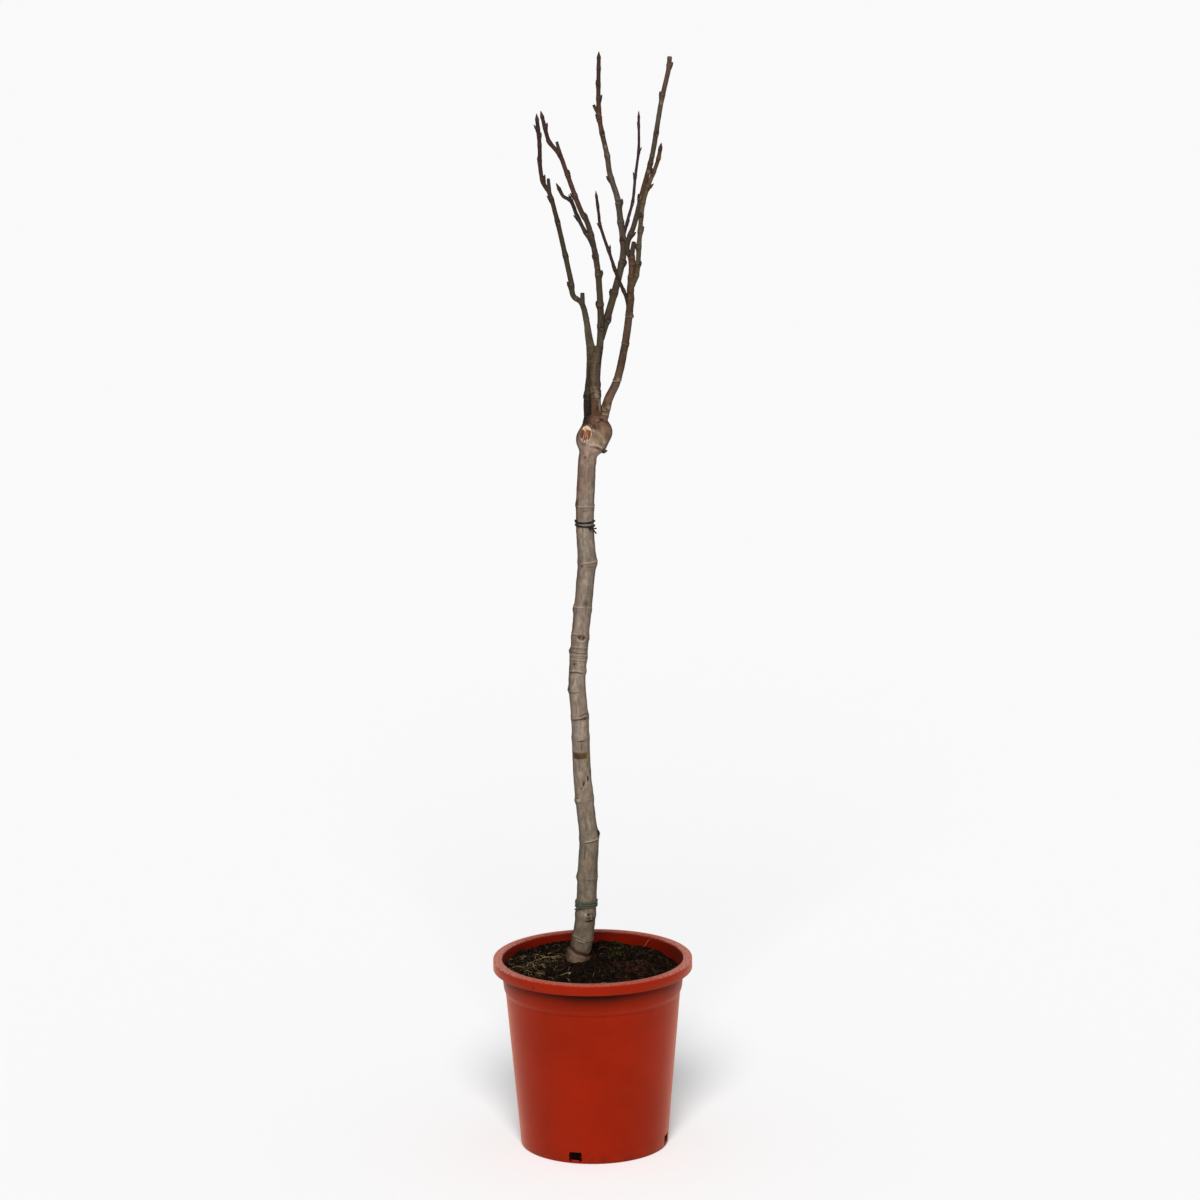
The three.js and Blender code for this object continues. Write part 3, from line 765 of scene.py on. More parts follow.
def makeSoilMaterial():
    tree = newMaterial("pottingSoil", Specular_IOR_Level=0.02)
    place = tree.place()
    lumps = tree.noise(place, 260.0, 6.0, 0.7)
    colour = tree.mix(tree.spread(lumps, 0.35, 0.65), soil["dark"], soil["light"])
    warm = tree.spread(tree.noise(place, 90.0, 3.0, 0.6), 0.52, 0.68)
    colour = tree.mix(tree.times(warm, 0.5), colour, soil["warm"])
    cells = tree.add("TexVoronoi", {"Vector": place, "Scale": 420.0})
    chosen = tree.add("SeparateColor", {0: cells["Color"]})[0]
    bit = tree.times(tree.spread(cells["Distance"], 0.16, 0.3, 1.0, 0.0), tree.spread(chosen, 0.93, 0.95))
    colour = tree.mix(bit, colour, soil["bits"])
    return tree.finish(colour, 1.0, tree.plus(lumps, tree.times(cells["Distance"], 0.6)), 0.9, 0.0012)


makeSoil(makeSoilMaterial())

litter = {
    "seed": 11, "crumbs": 3100, "clods": 420, "fibres": 640,
    "clearOfStem": 13.5,
    "kinds": 10,  # shapes of crumb
    "tangle": (-58, 10, 30, 36),  # x, y and how far it spreads to the sides and to the back
    "chips": (46, 6, 22, 24),
    # x, y, spread and number of blades
    "mossTufts": [
        (22, 62, 6, 60), (30, 50, 5, 60), (20, 44, 4, 34), (28, 66, 4, 40), (24, 85, 4, 34),
        (-58, 40, 9, 20), (-30, 62, 5, 16), (58, 30, 7, 12),
    ],
    # x, y, length, heading, rise and width
    "straws": [
        (-60, 25, 31, 0.2, 1.2, 0.75), (-34, -26, 14, 0.3, 1, 0.4), (-52, 32, 13, 2.6, 2, 0.45),
        (-70, 2, 17, 1.2, 2, 0.5), (-48, -8, 15, 2.2, 1.5, 0.45), (-76, 22, 12, 0.9, 2, 0.5),
        (-24, -44, 12, 1.9, 1.2, 0.45), (6, -52, 11, 0.5, 1, 0.4),
    ],
    "wallStraw": [(55, 69, 192.5), (58, 70, 197), (61.5, 70.4, 201.4)],
    "pebbles": [(-55.9, -24.3, 0.9), (-24.5, -23.6, 1.2), (12, -30, 0.7), (38, -46, 0.7), (-4, 66, 0.7)],
    "earth": [(11, 8, 6), (20, 14, 10), (28, 19, 13), (40, 24, 15), (15, 11, 9)],
    "dull": [(40, 28, 19), (58, 42, 28), (84, 62, 42), (30, 21, 15)],
    "pale": [(88, 72, 48), (66, 60, 36), (116, 98, 68), (50, 46, 28), (36, 29, 20), (58, 43, 29)],
    "red": [(52, 27, 20), (42, 24, 18), (66, 38, 29)],
    "greens": [(28, 33, 12), (38, 44, 16), (20, 22, 10), (62, 66, 26), (30, 26, 15)],
    "grit": rgb(120, 106, 86), "pebble": rgb(150, 138, 120),
    "straw": rgb(112, 92, 66), "longStraw": rgb(128, 100, 66),
}


def lump(random, sides=6):
    # an uneven little clod of a few faces
    rows = np.array([0.35, 0.95, 0.8, 0.3]) * (0.8 + 0.4 * random.random(4))
    heights = np.array([-0.62, -0.2, 0.28, 0.66])
    angles = circle(sides)
    wobble = 0.75 + 0.5 * random.random((4, sides))
    grid = np.stack([
        np.cos(angles) * rows[:, None] * wobble, np.sin(angles) * rows[:, None] * wobble,
        heights[:, None] + 0.1 * random.standard_normal((4, sides))], -1)
    # rings run against the angle, so the faces are turned to point outwards
    faces = [face[:, ::-1] for face in closedTube(4, sides)]
    return np.concatenate([grid.reshape(-1, 3), [[0, 0, -0.7], [0, 0, 0.75]]]), faces


def anyTurn(random):
    a, b, c = random.random(3) * 2 * math.pi
    return np.array(Matrix.Rotation(a, 3, "Z") @ Matrix.Rotation(b, 3, "X") @ Matrix.Rotation(c, 3, "Y"))


def spotsOnSoil(random, count, reach=90.5):
    spots = random.uniform(-reach, reach, (count * 2, 2))
    free = fromStem(spots[:, 0], spots[:, 1]) > litter["clearOfStem"]
    spots = spots[(np.hypot(spots[:, 0], spots[:, 1]) < reach) & free][:count]
    return np.column_stack([spots, soilLevelAt(spots[:, 0], spots[:, 1])])


def pick(random, shades):
    return rgb(*shades[int(random.integers(len(shades)))])


def makeCrumbs(material):
    random = np.random.default_rng(litter["seed"])
    mesh = PieceMesh()
    kinds = [lump(random) for _ in range(litter["kinds"])]
    for index, spot in enumerate(spotsOnSoil(random, litter["crumbs"])):
        size = 0.45 + 1.3 * random.random() ** 3
        shade = pick(random, litter["earth"])
        if index < litter["clods"]:
            size = random.uniform(1.6, 2.9)
        elif random.random() < 0.012:
            shade, size = litter["grit"], size * 0.6
        points, faces = kinds[index % len(kinds)]
        stretch = np.diag(random.uniform(0.7, 1.35, 3))
        mesh.add(points @ stretch @ anyTurn(random).T * size + spot + [0, 0, 0.25 * size], faces, shade)
    points, faces = kinds[0]
    for x, y, size in litter["pebbles"]:
        level = float(soilLevelAt(np.array(x), np.array(y)))
        mesh.add(points * size + [x, y, level + size], faces, litter["pebble"])
    mesh.makePiece("soilCrumbs", material, "potting_soil")


def thread(random, x, y, length, width, rise, heading=None, bend=0.35):
    # a thin bent strand lying on the soil
    steps = 7
    turn = random.random() * 2 * math.pi if heading is None else heading
    headings = (turn + np.linspace(0, 1, steps) * random.normal(0, bend) * 2)[1:]
    stride = length / (steps - 1)
    xs = x + np.concatenate([[0], np.cumsum(np.cos(headings) * stride)])
    ys = y + np.concatenate([[0], np.cumsum(np.sin(headings) * stride)])
    share = np.minimum(1, 91 / np.hypot(xs, ys))
    xs, ys = xs * share, ys * share
    level = soilLevelAt(xs, ys) + 0.4 + rise * np.sin(np.linspace(0, 1, steps) * math.pi)
    line = SmoothLine(np.column_stack([xs, ys, level]), 4)
    return line, np.linspace(0, line.total, steps), width * np.array([0.55, 0.9, 1, 1, 0.95, 0.8, 0.35])


def makeFibres(material):
    random = np.random.default_rng(litter["seed"] + 1)
    mesh = PieceMesh()
    for index, (x, y, _) in enumerate(spotsOnSoil(random, litter["fibres"])):
        shades = "dull"
        for share, area, kind in ((4, "tangle", "pale"), (6, "chips", "red")):
            if index % 10 < share and shades == "dull":
                middleX, middleY, wide, deep = litter[area]
                x, y = random.normal(middleX, wide * 0.6), random.normal(middleY, deep * 0.6)
                shades = kind
        reach = math.hypot(x, y)
        if reach > 89:
            x, y = x * 88 / reach, y * 88 / reach
        if fromStem(x, y) < 15:
            continue
        length, width, rise = random.uniform(4, 13), random.uniform(0.2, 0.5), random.uniform(0.2, 2.0)
        line, places, radius = thread(random, x, y, length, width, rise, bend=0.6)
        Skin(line, places, 4, radius, pick(random, litter[shades])).addTo(mesh)
    for x, y, length, heading, rise, width in litter["straws"]:
        line, places, radius = thread(random, x, y, length, width, rise, heading, 0.15)
        Skin(line, places, 5, radius, litter["straw"]).addTo(mesh)
    line = SmoothLine(litter["wallStraw"], 6)
    radius = [0.2, 0.26, 0.28, 0.26, 0.22, 0.1]
    Skin(line, np.linspace(0, line.total, 6), 5, radius, litter["longStraw"]).addTo(mesh)
    mesh.makePiece("soilFibres", material, "potting_soil")


def makeMoss(material):
    random = np.random.default_rng(litter["seed"] + 2)
    mesh = PieceMesh()
    for tuftX, tuftY, width, blades in litter["mossTufts"]:
        spots = random.normal((tuftX, tuftY), width / 2, (blades, 2))
        spots = spots[np.hypot(spots[:, 0], spots[:, 1]) < 90]
        for (x, y), level in zip(spots, soilLevelAt(spots[:, 0], spots[:, 1])):
            leanX, leanY = random.normal(0, 0.9, 2)
            height = random.uniform(0.6, 3.0)
            middle = [x + leanX * 0.3, y + leanY * 0.3, level + height * 0.55]
            line = SmoothLine([[x, y, level - 0.4], middle, [x + leanX, y + leanY, level + height]], 3)
            radius = np.array([0.22, 0.42, 0.34, 0.05]) * random.uniform(0.7, 1.2)
            shade = pick(random, litter["greens"])
            Skin(line, np.linspace(0, line.total, 4), 4, radius, shade).addTo(mesh)
    mesh.makePiece("soilMoss", material, "potting_soil")


def makeLitterMaterial():
    tree = newMaterial("soilLitter", Specular_IOR_Level=0.02)
    grain = tree.noise(tree.place(), 900.0, 4.0, 0.65)
    colour = tree.shade(tree.own("bark"), tree.spread(grain, 0.3, 0.7, 0.65, 1.3))
    return tree.finish(colour, 1.0, grain, 0.6, 0.0004)


litterMatter = makeLitterMaterial()
makeCrumbs(litterMatter)
makeFibres(litterMatter)
makeMoss(litterMatter)


# Stem, head and boughs

# Lumps are rows of rise, size and seed, clouds of strength, size, seed and tint, and the painted shade on
# the flanks of strength, size and seed.
barkWearAndShade = {
    "stem": {
        "lumps": [(0.28, 9, 2), (0.13, 3.2, 3)],
        "clouds": [(0.26, 2.2, 13), (0.16, 5.5, 14, 1, 0.7, 0.5)], "shadedFlanks": (0.5, 7, 15),
    },
    "bough": {
        "lumps": [(0.2, 6, 5), (0.1, 2.2, 6)],
        "clouds": [(0.2, 2.4, 25), (0.16, 7, 28, 1, 0.1, -0.4)], "shadedFlanks": (0.62, 7, 32),
    },
    "twig": {
        "lumps": [(0.14, 4, 20)],
        "clouds": [(0.22, 2.2, 40), (0.13, 8, 50, 1, 0.1, -0.4)], "shadedFlanks": (0.62, 7, 60),
    },
    "stub": {"lumps": [(0.16, 2.4, 31)]},
}

# Tones are rows of height and red, green and blue; Skin.addRings and Skin.addSpots say what the
# other rows hold.
stem = {
    "line": [
        (-16, 16, 186), (-16, 16, 196), (-12, 15.5, 212), (-7.5, 14, 240), (-4, 9, 300), (-2.5, 7, 330),
        (-5.5, 4, 360), (-9, 0, 405), (-10.5, -4, 462), (-13, -4, 500), (-10.5, -2, 535), (-4, 2, 600),
        (-1.5, 2, 628), (-3, 1, 662), (-1.5, 0, 712), (1, 0, 740), (5, 0, 756), (8.3, -0.3, 770),
        (9.5, -0.5, 783),
    ],
    "radii": [
        (186, 14.6), (194, 13.6), (200, 12.3), (208, 11.4), (230, 10.8), (300, 10.5), (345, 9.8),
        (500, 8.9), (620, 9.4), (735, 9.4), (783, 9.4),
    ],
    "foot": 193.0,
    "sides": 96,
    "swells": [221, 246, 288, 330, 374, 441, 464, 527, 548, 577, 627, 686],
    "swell": (0.55, 4.2),  # rise and spread
    "flare": {"level": 193.4, "lobes": 0.1, "fade": 10},
    "step": 1.2,  # between the rings of points, and the fine step and reach round a node
    "fine": (0.55, 3.2),
    "closest": 0.3,
    "headFrom": 735,
    "headStep": 0.65,
    "neck": {"from": 776.5, "over": 6.5, "thinner": 0.24},
    "tones": [
        (193, 80, 61, 43), (204, 87, 68, 53), (212, 90, 79, 64), (255, 102, 91, 77), (300, 98, 87, 73),
        (345, 105, 95, 81), (450, 117, 104, 91), (560, 108, 94, 82), (640, 110, 97, 85), (720, 110, 94, 82),
        (748, 132, 110, 95), (762, 112, 89, 72), (770, 101, 74, 56), (778, 78, 51, 35), (784, 62, 39, 25),
    ],
    "rings": [
        (686.2, -60, 100, 0.5, 0.6, 0.35), (683.6, -50, 70, 0.1, 0.4, 0.1),
        (627.2, -28, 88, 0.85, 0.5, 0.55, {"tilt": 0.7}), (624, -5, 60, 0.1, 0.45, 0.05, {"groove": 0.15}),
        (621, 0, 45, 0.1, 0.35, 0.05, {"groove": 0.12}), (579.3, -100, 8, 0.75, 0.3, 0.4),
        (578.6, 24, 75, 0.35, 0.25, 0.2), (549.6, -110, -20, 0.6, 0.6, 0.5, {"tilt": -1.2}),
        (549.4, 40, 120, 0.5, 0.4, 0.35, {"tilt": -1.2}), (546.6, 38, 110, 0.2, 0.35, 0.25, {"tilt": -1.2}),
        (537.2, -80, 80, 0.4, 0.45, 0.45), (532.9, -80, 60, 0.15, 0.75, 0.35),
        (529.8, -60, 75, 0.3, 0.5, 0.3), (527.6, -75, 70, 0.3, 0.5, 0.25),
        (524.4, -60, 80, 0.45, 0.4, 0.35), (519.3, -10, 70, 0.35, 0.2, 0.2),
        (512.4, -62, 40, 0.5, 1, 0.4, {"groove": 0.5, "wave": 0.6, "width": 0.95}),
        (492, -85, 22, 0.15, 0.6, 0.15, {"width": 0.8}), (467.2, -2, 60, 0.2, 0.8, 0.1, {"tilt": 2.4}),
        (463.4, -60, 24, 0.35, 1, 0.3, {"tilt": 1.8, "width": 1.1, "groove": 0.5}),
        (464.2, 18, 100, 0.35, 0.5, 0.3), (460.8, -38, -8, 0.1, 0.45, 0.1),
        (440.6, -20, 26, 0.15, 1, 0.15, {"width": 0.9}), (441.2, 26, 70, 0.15, 0.25, 0.1),
        (373.2, -75, -14, 0.2, 0.7, 0.2, {"groove": 0.4}), (374.2, 8, 70, 0.2, 0.4, 0.15),
        (328.8, -26, 90, 0.75, 1, 0.6, {"tilt": 0.9, "groove": 0.5, "width": 0.95}),
        (287.5, -6, 52, 0.35, 0.35, 0.15), (220.2, -75, 16, 0.45, 0.3, 0.35, {"wave": 0.9}),
        (219.2, 18, 90, 0.45, 0.3, 0.35, {"wave": 0.9}),
    ],
    "backRings": [686.2, 627.2, 579.3, 549.4, 513.6, 464, 441, 373.4, 329.6, 287.5, 220],
    "spots": [
        (688.2, -66, 3.2, 2.8, 0, 0, {"edge": 0.45, "rust": 0.9, "rimDark": 0.6}),
        (681, -64, 6.5, 1, 0, 0.6, {"rust": 0.5}), (738.4, -17, 1.6, 1.4, 0, 0.45, {"rust": 0.3}),
        (630, -44, 0.9, 0.9, 0, 0.6), (624.1, -31, 1.2, 1.5, 0, 0.7, {"rust": 0.8}),
        (627, 76, 6, 5, 1.5, 0, {"pale": 0.2}),
        (584.2, 16, 3.2, 2.4, 0, 0.5, {"rust": 0.25, "rimDark": 0.15}), (577.4, 15, 4.2, 0.8, 0, 0.5),
        (580, 26, 3.4, 0.7, 0, 0.35), (579, 4, 2.4, 0.7, 0, 0.3), (576.8, -70, 4.5, 4, 1.3, 0),
        (533.2, -79, 3.2, 3.6, 1.7, 0.6),
        (520.4, -25, 2.4, 2.7, 0, 0.2, {"edge": 0.35, "rimDark": 0.55, "rimPale": 0.5}),
        (520.6, -25, 1.2, 1.4, 0, 0.9, {"rust": 1}), (493.4, -84, 3, 3, 1.5, 0.5),
        (482, 4, 7, 0.7, 0, 0.35, {"tilt": 0.5}), (478, 18, 6, 0.6, 0, 0.35, {"tilt": 0.5}),
        (476, -16, 5, 0.6, 0, 0.3, {"tilt": 0.6}), (410, -14, 5, 0.8, 0, 0.35), (432, 4, 4.5, 0.7, 0, 0.6),
        (455, -22, 6, 0.7, 0, 0.35), (652, -16, 7, 0.8, 0, 0.3), (604, 20, 8, 0.7, 0, 0.3),
        (350, -8, 9, 0.8, 0, 0.3), (726, 14, 6, 0.7, 0, 0, {"rust": 0.4}), (516.4, -16, 0.9, 1.1, 0, 0.6),
        (517, -2, 0.7, 0.8, 0, 0.4), (513.3, 66, 3.6, 4, 1.4, 0),
        (463.6, 32, 1.7, 2.6, 0, 0.5, {"rust": 1}), (466.5, 58, 3.5, 3, 0.7, 0.3),
        (467.6, 16, 0.8, 0.9, 0, 0.5), (469.2, 36, 0.8, 1, 0, 0.45), (440.4, 6, 0.8, 1.4, 0, 0.8),
        (414.5, 6, 3, 3.2, 0, 0, {"green": 0.45}), (398.6, 38, 3.8, 1.5, -0.3, 1, {"rimPale": 0.5}),
        (405, 66, 5, 1.4, 0, 0.8), (393.8, 6, 3, 1.2, 0, 0.85, {"rust": 0.6, "tilt": -0.6}),
        (388.4, -12, 1.3, 1.1, 0, 0.8), (387.6, -4, 1.1, 1, 0, 0, {"pale": 0.8}), (389, -9, 1, 1.1, 0, 0.4),
        (375.6, -35, 1.7, 1.8, 0.3, 0, {"pale": 1}), (377.6, -41, 1, 1.3, 0, 0.85),
        (373.2, -64, 3.4, 3.6, 1.1, 0.25), (334.9, 92, 3.2, 3, 1.9, 0.8), (335.6, 78, 3.8, 2.4, 0, 1),
        (318.5, -24, 9.5, 0.7, -0.25, 0.75), (305, 22, 12, 1.2, 0, 0, {"rust": 0.16}),
        (287.8, -68, 4, 3.8, 1.4, 0.15), (248, 13, 1.6, 1.6, -0.5, 1),
        (241.6, 24, 1.7, 4, -0.5, 1, {"tilt": -0.4}), (244.4, 20, 1.8, 1.8, 0, 0.8),
        (243.8, 34, 1.4, 1.2, 0.5, 0, {"pale": 0.7}), (249.8, 34, 0.8, 2, 0, 0.8),
        (245, 40, 2.6, 0.9, 0, 0.9), (244.6, 9, 1.6, 0.8, 0, 0.85),
        (248.2, 1, 1.8, 1.5, 0.3, 0, {"pale": 0.9}),
        (218.6, -18, 0.8, 3.2, 0.3, 0, {"pale": 0.4, "tilt": 0.5}),
        (217.8, 4, 0.8, 2.6, 0.3, 0, {"pale": 0.35, "tilt": -0.5}), (216.4, -8, 0.7, 2.6, 0, 0.6),
        (247, 22, 6.5, 6, 0.6, 0), (201, -84, 5, 6, 1.4, 0),
        (575, 168, 2.4, 2.4, 0, 0, {"edge": 0.35, "rimDark": 0.6, "rust": 0.4}),
        (441, -165, 2.6, 2.6, 0, 0.3, {"edge": 0.4, "rimDark": 0.6}),
        (329, -150, 2.4, 2.8, 0, 0, {"edge": 0.35, "rimDark": 0.6, "rust": 0.3}),
        (627, -140, 2, 2.4, 0, 0.3, {"edge": 0.3, "rimDark": 0.5}), (500, 150, 3, 1.2, 0, 0.5),
        (405, -120, 2.2, 2, 0.3, 0.4), (655, 140, 2.2, 2.2, 0.2, 0.35), (270, 130, 3.6, 3.6, 1, 0.3),
    ],
    "wound": {"height": 548.2, "turn": 9, "high": 3.9, "wide": 4.7},
    "band": {"low": 420.6, "high": 427.7, "brown": rgb(56, 36, 15), "olive": rgb(102, 90, 54)},
    "collar": {
        "node": 206, "height": 205.6, "tilt": -1.7, "wobble": 0.35,
        "groove": (0.9, 1.7), "swell": (0.6, 1.8),
    },
    # turn and half width, lowest and highest point, share and colour; the near-black strip on the head's
    # left paints shadow, and the two palest strips low on the head's front are painted highlight
    "strips": [
        (-64, 27, 767, 800, 0.95, 18, 12, 9), (4, 22, 774, 800, 0.8, 74, 46, 30),
        (-55, 22, 206, 219, 0.7, 58, 36, 24), (58, 24, 772, 800, 0.7, 88, 60, 40),
        (-10, 24, 740, 764, 0.6, 156, 132, 118), (38, 18, 742, 762, 0.65, 136, 115, 84),
        (44, 18, 764, 786, 0.65, 134, 104, 82), (12, 16, 742, 758, 0.7, 172, 148, 131),
        (-66, 20, 470, 742, 0.5, 92, 62, 48), (2, 30, 440, 700, 0.4, 132, 122, 110),
        (70, 16, 470, 735, 0.4, 88, 82, 66), (-58, 18, 228, 345, 0.55, 78, 80, 62),
        (6, 7, 296, 316, 0.5, 140, 104, 92), (20, 26, 345, 440, 0.35, 112, 98, 84),
        (-40, 26, 186, 203, 0.5, 104, 84, 63), (-62, 18, 692, 745, 0.6, 104, 66, 46),
        (60, 30, 228, 330, 0.4, 84, 70, 56), (180, 60, 230, 740, 0.35, 90, 76, 64),
    ],
}

# Strokes are rows of points on the bark, width, rise and marks. The dark strokes just under the two pale
# ridges paint their shadows, the dark stroke at 777 to 778 on the right paints the shade in a hollow, and
# the two dark strokes on the head's left side paint shade there.
head = {
    "from": 733,
    "burl": [((5.5, 0, 756), (16.8, 15, 17)), ((14, -1, 764), (12.4, 12, 13.5))],
    "neck": ((7.5, 0, 762), (9.5, -0.5, 784), 14.2, 11.6),
    "bud": ((16.2, -5, 744.6), (0.9, -0.3, 0.12), 5.2, 3),
    "budShade": rgb(15, 11, 9),
    "melt": 3.0,
    "search": (6, 27, 0.25),  # nearest, furthest and step along each ray
    "mean": 9.6,  # the radius that marks on the stem are measured by
    "strokes": [
        ([(6.1, -13.6, 768.1), (9.4, -13.8, 766.2), (13.5, -13, 762.9), (16.6, -11.3, 757.8),
         (18, -9.9, 754)], 1.2, 1.2, {"pale": 1, "green": 0.1}),
        ([(3.2, -14.5, 752.7), (7.2, -14.6, 752.9), (11.2, -13.6, 751.9),
         (15.2, -10.8, 748.6)], 1.15, 1.1, {"pale": 1, "green": 0.1}),
        ([(8.6, -13.8, 766.8), (12.6, -13.2, 763.4), (15.8, -11.8, 757.6)], 0.8, -0.7, {"dark": 0.85}),
        ([(12, -13.2, 772), (15.5, -11.6, 764), (19, -9.2, 757)], 0.8, -0.4, {"dark": 0.6}),
        ([(9.5, -13.8, 761), (12.5, -13, 757), (15, -11.6, 752)], 0.8, -0.35, {"dark": 0.5}),
        ([(-1, -13, 751), (3, -13.6, 754.6), (7, -14.2, 758), (9, -14.2, 762)], 0.7, -0.3, {"dark": 0.35}),
        ([(2.6, -13.4, 773), (6, -13.4, 771.2), (9.6, -13.4, 771)], 0.8, -0.5, {"dark": 0.85}),
        ([(15.2, -11.4, 770), (16.4, -10.8, 767)], 1, 0.3, {"pale": 0.35}),
        ([(3.6, -13.4, 750.4), (8.5, -13.6, 750.2), (12.5, -11.6, 748.4)], 1, -0.5, {"dark": 0.75}),
        ([(12.8, -12.5, 757.5), (16.6, -10.8, 753.5)], 3.4, 0, {"green": 0.45}),
        ([(14.8, -10.9, 778.4), (18.8, -8.1, 777)], 2, -1.5, {"dark": 1}),
        ([(3.4, -14.2, 746), (8, -14, 748.6), (12.5, -11.6, 748.2), (15, -9.6, 746)], 1.5, -0.3,
         {"rust": 0.7}),
        ([(11, -13.4, 776), (14, -12.2, 770), (17, -10.4, 766)], 0.7, -0.4, {"dark": 0.6}),
        ([(16.5, -11, 774), (19, -9.4, 768), (20.5, -8, 760)], 0.8, -0.4, {"dark": 0.5}),
        ([(1.5, -12.6, 775), (7, -13, 777), (12, -12.4, 776)], 0.8, 0.4, {"rust": 0.8}),
        ([(5.2, -13.4, 769), (4.4, -12.6, 774)], 0.7, -0.6, {"dark": 0.8}),
        ([(7.4, -13.4, 768.4), (7.2, -12.6, 774.5)], 0.8, 0.6, {"rust": 1}),
        ([(8.8, -13.2, 768.2), (8.9, -12.6, 773.5)], 0.6, -0.6, {"dark": 0.85}),
        ([(10.2, -13.2, 769), (10.4, -12.4, 774)], 0.7, 0.6, {"pale": 0.15, "rust": 0.9}),
        ([(11.6, -13, 767), (11.6, -12.4, 773)], 0.6, -0.5, {"dark": 0.7}),
        ([(13.4, -12.6, 760), (15.4, -11.2, 766), (14.8, -10.4, 772)], 0.9, -0.4, {"dark": 0.5}),
        ([(-9.5, -5, 768), (-5.6, -8.6, 772), (-3.6, -9.6, 781)], 1.6, -0.6, {"dark": 0.95}),
        ([(-10.8, -4, 752), (-10.6, -5, 760), (-9.6, -6, 766)], 1.4, 0, {"dark": 0.7}),
        ([(10, -13, 778), (14, -11.5, 779), (18.5, -8.5, 780)], 1, 0.5, {"pale": 0.35}),
    ],
    "wound": {"middle": (-0.95, -10.9, 763.9), "normal": (-0.4, -0.85, 0.36), "size": (6.4, 8.4)},
}


def readTable(rows, places):
    return np.interp(places, *zip(*rows))


def readTones(rows, places):
    heights, tones = [row[0] for row in rows], [rgb(*row[1:]) for row in rows]
    return np.stack([np.interp(places, heights, channel) for channel in zip(*tones)], -1)


def limbSkin(look, line, places, sides):
    heights = line.at(places)[:, 2]
    radius, tones = readTable(look["radii"], heights), readTones(look["tones"], heights)
    return Skin(line, places, sides, radius, tones), heights


def ellipsoidField(points, centre, radii):
    scaled = (points - np.array(centre)) / np.array(radii)
    size = np.linalg.norm(scaled, axis=-1)
    slope = np.linalg.norm(scaled / np.array(radii), axis=-1)
    return size * (size - 1) / np.maximum(slope, 1e-6)


def coneField(points, start, end, low, high):
    start, axis = np.array(start, float), np.array(end, float) - np.array(start, float)
    length = np.linalg.norm(axis)
    axis = axis / length
    along = (points - start) @ axis
    away = np.linalg.norm(points - start - along[..., None] * axis, axis=-1)
    beyond = np.maximum(np.maximum(-along, along - length), 0)
    return np.maximum(away - (low + (high - low) * ramp(along, 0, length)), beyond)


def melted(first, second):
    share = np.clip(0.5 + 0.5 * (second - first) / head["melt"], 0, 1)
    return blend(second, first, share) - head["melt"] * share * (1 - share)


def headField(points):
    lower, upper = (ellipsoidField(points, *part) for part in head["burl"])
    return melted(melted(lower, upper), coneField(points, *head["neck"]))


def growHead(skin):
    # the burl's bulge over the plain stem: the furthest point on each ray that lies in the head
    centre, outward = skin.rays()
    rows = np.nonzero(centre[:, 0, 2] > head["from"])[0]
    reach = skin.radius[rows].copy()
    for distance in np.arange(*head["search"]):
        field = headField(centre[rows] + outward[rows] * distance)
        field = melted(field, distance - skin.radius[rows])
        reach = np.where(field <= 0, np.maximum(reach, distance - np.clip(field, -0.25, 0)), reach)
    skin.radius[rows] = reach


def strokeHead(skin):
    points = skin.surface()
    for stroke, width, rise, marks in head["strokes"]:
        track = SmoothLine(stroke, 12).points if len(stroke) > 2 else np.linspace(*stroke, 12)
        away = np.min(np.linalg.norm(points[:, :, None] - track, axis=-1), axis=-1)
        near = bell(away, 0, width)
        skin.radius += rise * near
        for channel, amount in marks.items():
            skin.paint(channel, amount * near)


def woundAxes():
    # the sawn face's middle, and unit vectors out of it, to its right and up it
    normal = unit(np.array(head["wound"]["normal"], float))
    across = unit(np.cross((0, 0, 1.0), normal))
    return np.array(head["wound"]["middle"]), normal, across, np.cross(normal, across)


def levelWound(skin):
    # the bark is levelled under the sawn face and swells to a soft lip round it
    middle, normal, across, upward = woundAxes()
    wide, high = head["wound"]["size"]
    centre, outward = skin.rays()
    facing = np.maximum(outward @ normal, 0.3)
    toFace = ((middle - centre) @ normal) / facing
    away = centre + outward * toFace[..., None] - middle
    q = np.hypot(away @ across / wide, away @ upward / high)
    lip = 0.7 * bell(q, 1.14, 0.17) - 0.4 * (q < 0.98)
    share = eased(ramp(q, 1.7, -0.5)) * (facing > 0.3)
    skin.radius = blend(skin.radius, toFace + lip, share)
    skin.paint("dark", 0.5 * bell(q, 1.32, 0.12) * (away @ across < 2))


